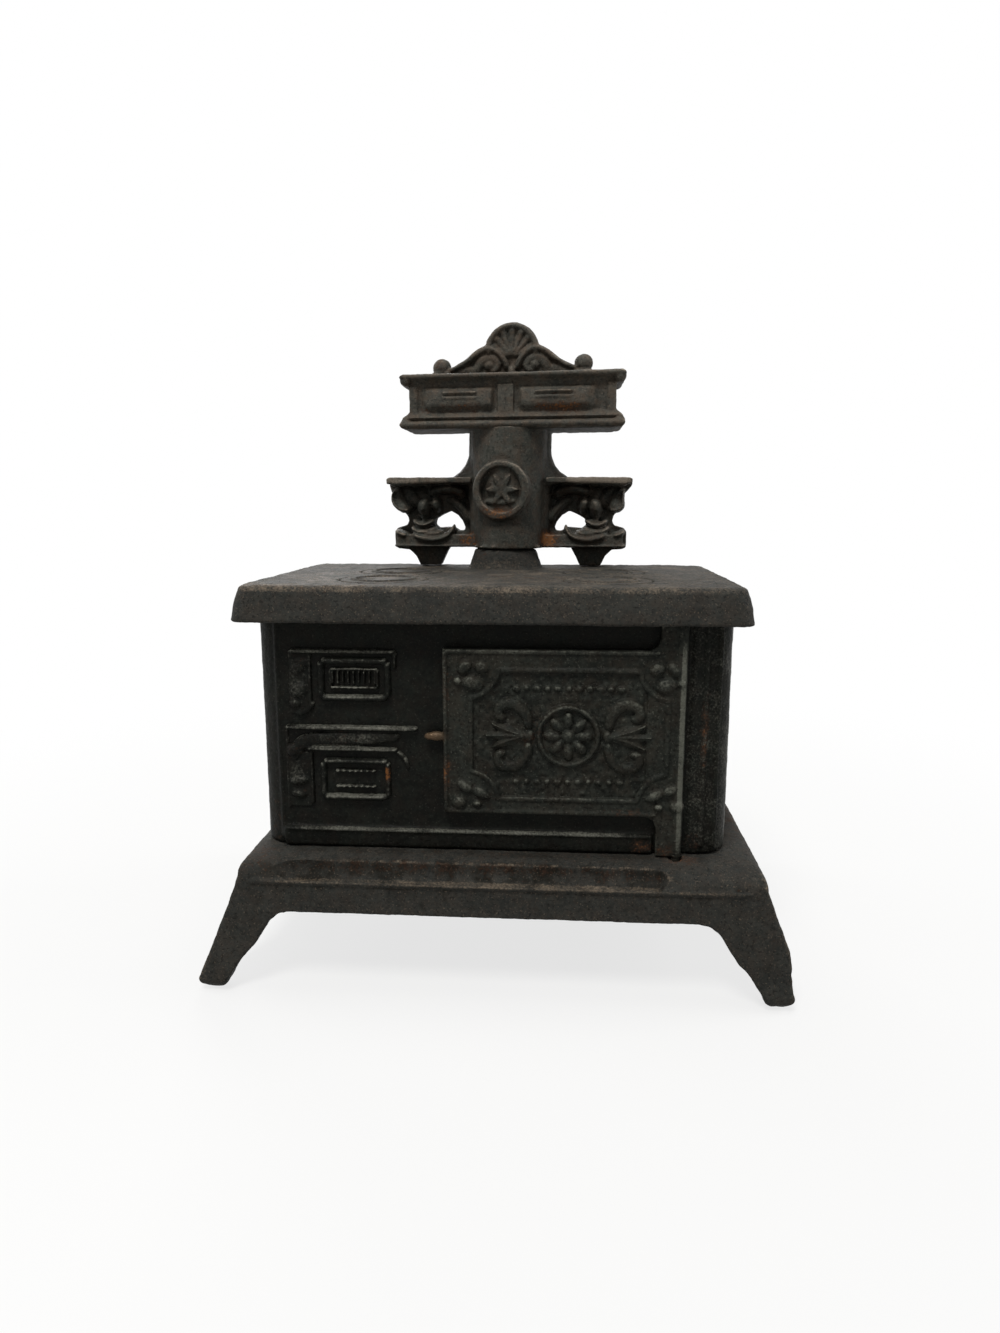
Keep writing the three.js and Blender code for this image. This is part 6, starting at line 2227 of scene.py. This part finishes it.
@dataclass(frozen=True)
class Studio:
    """The pale floor, the lights and the camera that took the photograph's view."""

    eye: Triple = (13.25, -188.85, 92.88)
    angles: Triple = (-4.0244, 10.5701, -0.0231)  # yaw, pitch and roll in degrees
    focal_pixels: float = 891.03
    picture_height: float = 1333.0
    sensor: float = 36.0
    sight: Pair = (0.01, 50.0)
    floor_half: float = 4.0
    floor_tone: Triple = (0.5, 0.5, 0.49)
    floor_fade: Pair = (0.05, 0.26)
    floor_share: float = 0.76
    world_tone: Triple = (1.0, 0.99, 0.97)
    world_strength: float = 0.22
    white: Triple = (1.0, 1.0, 1.0)
    middle: Triple = (0.0, 0.0, 0.06)
    lamps: tuple[Lamp, ...] = (
        Lamp("key_lamp", (-0.1, -0.36, 0.68), 0.22, 5.0, (1.0, 0.985, 0.96)),
        Lamp("top_lamp", (0.05, 0.05, 0.75), 0.3, 2.0),
        Lamp("side_lamp", (0.6, 0.1, 0.4), 0.25, 1.8),
        Lamp("left_lamp", (-0.6, 0.15, 0.35), 0.3, 1.2),
        Lamp("back_lamp", (-0.2, 0.6, 0.4), 0.3, 2.4),
    )

    def camera(self) -> None:
        """Sets up the camera."""
        yaw, pitch, roll = (math.radians(angle) for angle in self.angles)
        ahead = Vector((math.sin(yaw) * math.cos(pitch), math.cos(yaw) * math.cos(pitch), -math.sin(pitch)))
        level = Vector((math.cos(yaw), -math.sin(yaw), 0.0))
        above = level.cross(ahead)
        right = level * math.cos(roll) + above * math.sin(roll)
        up = above * math.cos(roll) - level * math.sin(roll)
        data = bpy.data.cameras.new("camera")
        data.sensor_width = self.sensor
        data.lens = self.sensor * self.focal_pixels / self.picture_height
        data.clip_start, data.clip_end = self.sight
        camera = put("camera", data)
        turn = Matrix((right, up, -ahead)).transposed().to_4x4()
        camera.matrix_world = Matrix.Translation(Vector(self.eye) * MM) @ turn
        bpy.context.scene.camera = camera

    def backdrop_share(self, bench: Bench) -> Value:
        """Works out which rays see the backdrop itself: those from the camera, off metal or through glass.

        Args:
            bench: The bench of the backdrop's tree.

        Returns:
            1 for those rays and 0 for all others.
        """
        rays = bench.add("ShaderNodeLightPath").outputs
        camera, glossy, through = (Value(bench, rays[f"Is {kind} Ray"])
                                   for kind in ("Camera", "Glossy", "Transmission"))
        return bench.math("MAXIMUM", bench.math("MAXIMUM", camera, glossy), through)

    def floor(self) -> None:
        """Lays a pale floor that fades to white away from the stove."""
        half = self.floor_half
        mesh = bpy.data.meshes.new("floor")
        mesh.from_pydata([(-half, -half, 0), (half, -half, 0), (half, half, 0), (-half, half, 0)], [],
                         [(0, 1, 2, 3)])
        floor = put("floor", mesh)
        material = bpy.data.materials.new("pale_floor")
        bench = Bench.emptied(material)
        length = bench.add("ShaderNodeVectorMath", {0: bench.place()}, operation="LENGTH")
        far = bench.ramp(Value(bench, length.outputs["Value"]), *self.floor_fade, self.floor_share, 1.0)
        bench.add("ShaderNodeOutputMaterial", {"Surface": bench.add("ShaderNodeMixShader", {
            0: far * self.backdrop_share(bench),
            1: bench.add("ShaderNodeBsdfDiffuse", {"Color": self.floor_tone}),
            2: bench.add("ShaderNodeEmission", {"Color": self.white}),
        })})
        mesh.materials.append(material)

    def world(self) -> None:
        """Gives the room its soft light and its white backdrop."""
        world = bpy.data.worlds.new("room")
        bpy.context.scene.world = world
        bench = Bench.emptied(world)
        bench.add("ShaderNodeOutputWorld", {"Surface": bench.add("ShaderNodeMixShader", {
            0: self.backdrop_share(bench),
            1: bench.add("ShaderNodeBackground", {"Color": self.world_tone, "Strength": self.world_strength}),
            2: bench.add("ShaderNodeBackground", {"Color": self.white}),
        })})

    def set_up(self) -> None:
        """Builds the whole studio."""
        self.camera()
        self.floor()
        self.world()
        for lamp in self.lamps:
            lamp.hang(self.middle)
        bpy.context.scene.view_settings.view_transform = "Standard"


# The whole stove


def castings() -> list[Casting]:
    """Lists every casting and fastener of the stove.

    Returns:
        The pieces, in the order in which they are made.
    """
    return [
        BaseCasting(),
        FrontPanel(),
        ReliefDoors(),
        Wall("left_side_panel", seed=61),
        Wall("right_side_panel", seed=62),
        Wall("back_panel", seed=63),
        HobPlate(),
        Lid("lid_front_left", Body.LID_FRONT_LEFT, seed=71),
        Lid("lid_front_right", Body.LID_FRONT_RIGHT, seed=72),
        Lid("lid_back_left", Body.LID_BACK_LEFT, seed=73),
        Lid("lid_back_right", Body.LID_BACK_RIGHT, seed=74),
        OvenDoor(),
        PipeAndBrackets(),
        ClosetAndCrest(),
        Fastener("tie_bolt", seed=81),
        Fastener("tie_nut", seed=82),
        Fastener("shelf_screw", seed=83),
    ]


def main() -> None:
    """Builds the stove and its studio."""
    logging.basicConfig(level=logging.INFO, format="%(name)s: %(message)s")
    effects = Effects()
    materials = {finish: look.made(finish.value, effects) for finish, look in FINISHES.items()}
    for casting in castings():
        casting.made(materials)
    Studio().set_up()


if __name__ == "__main__":
    main()
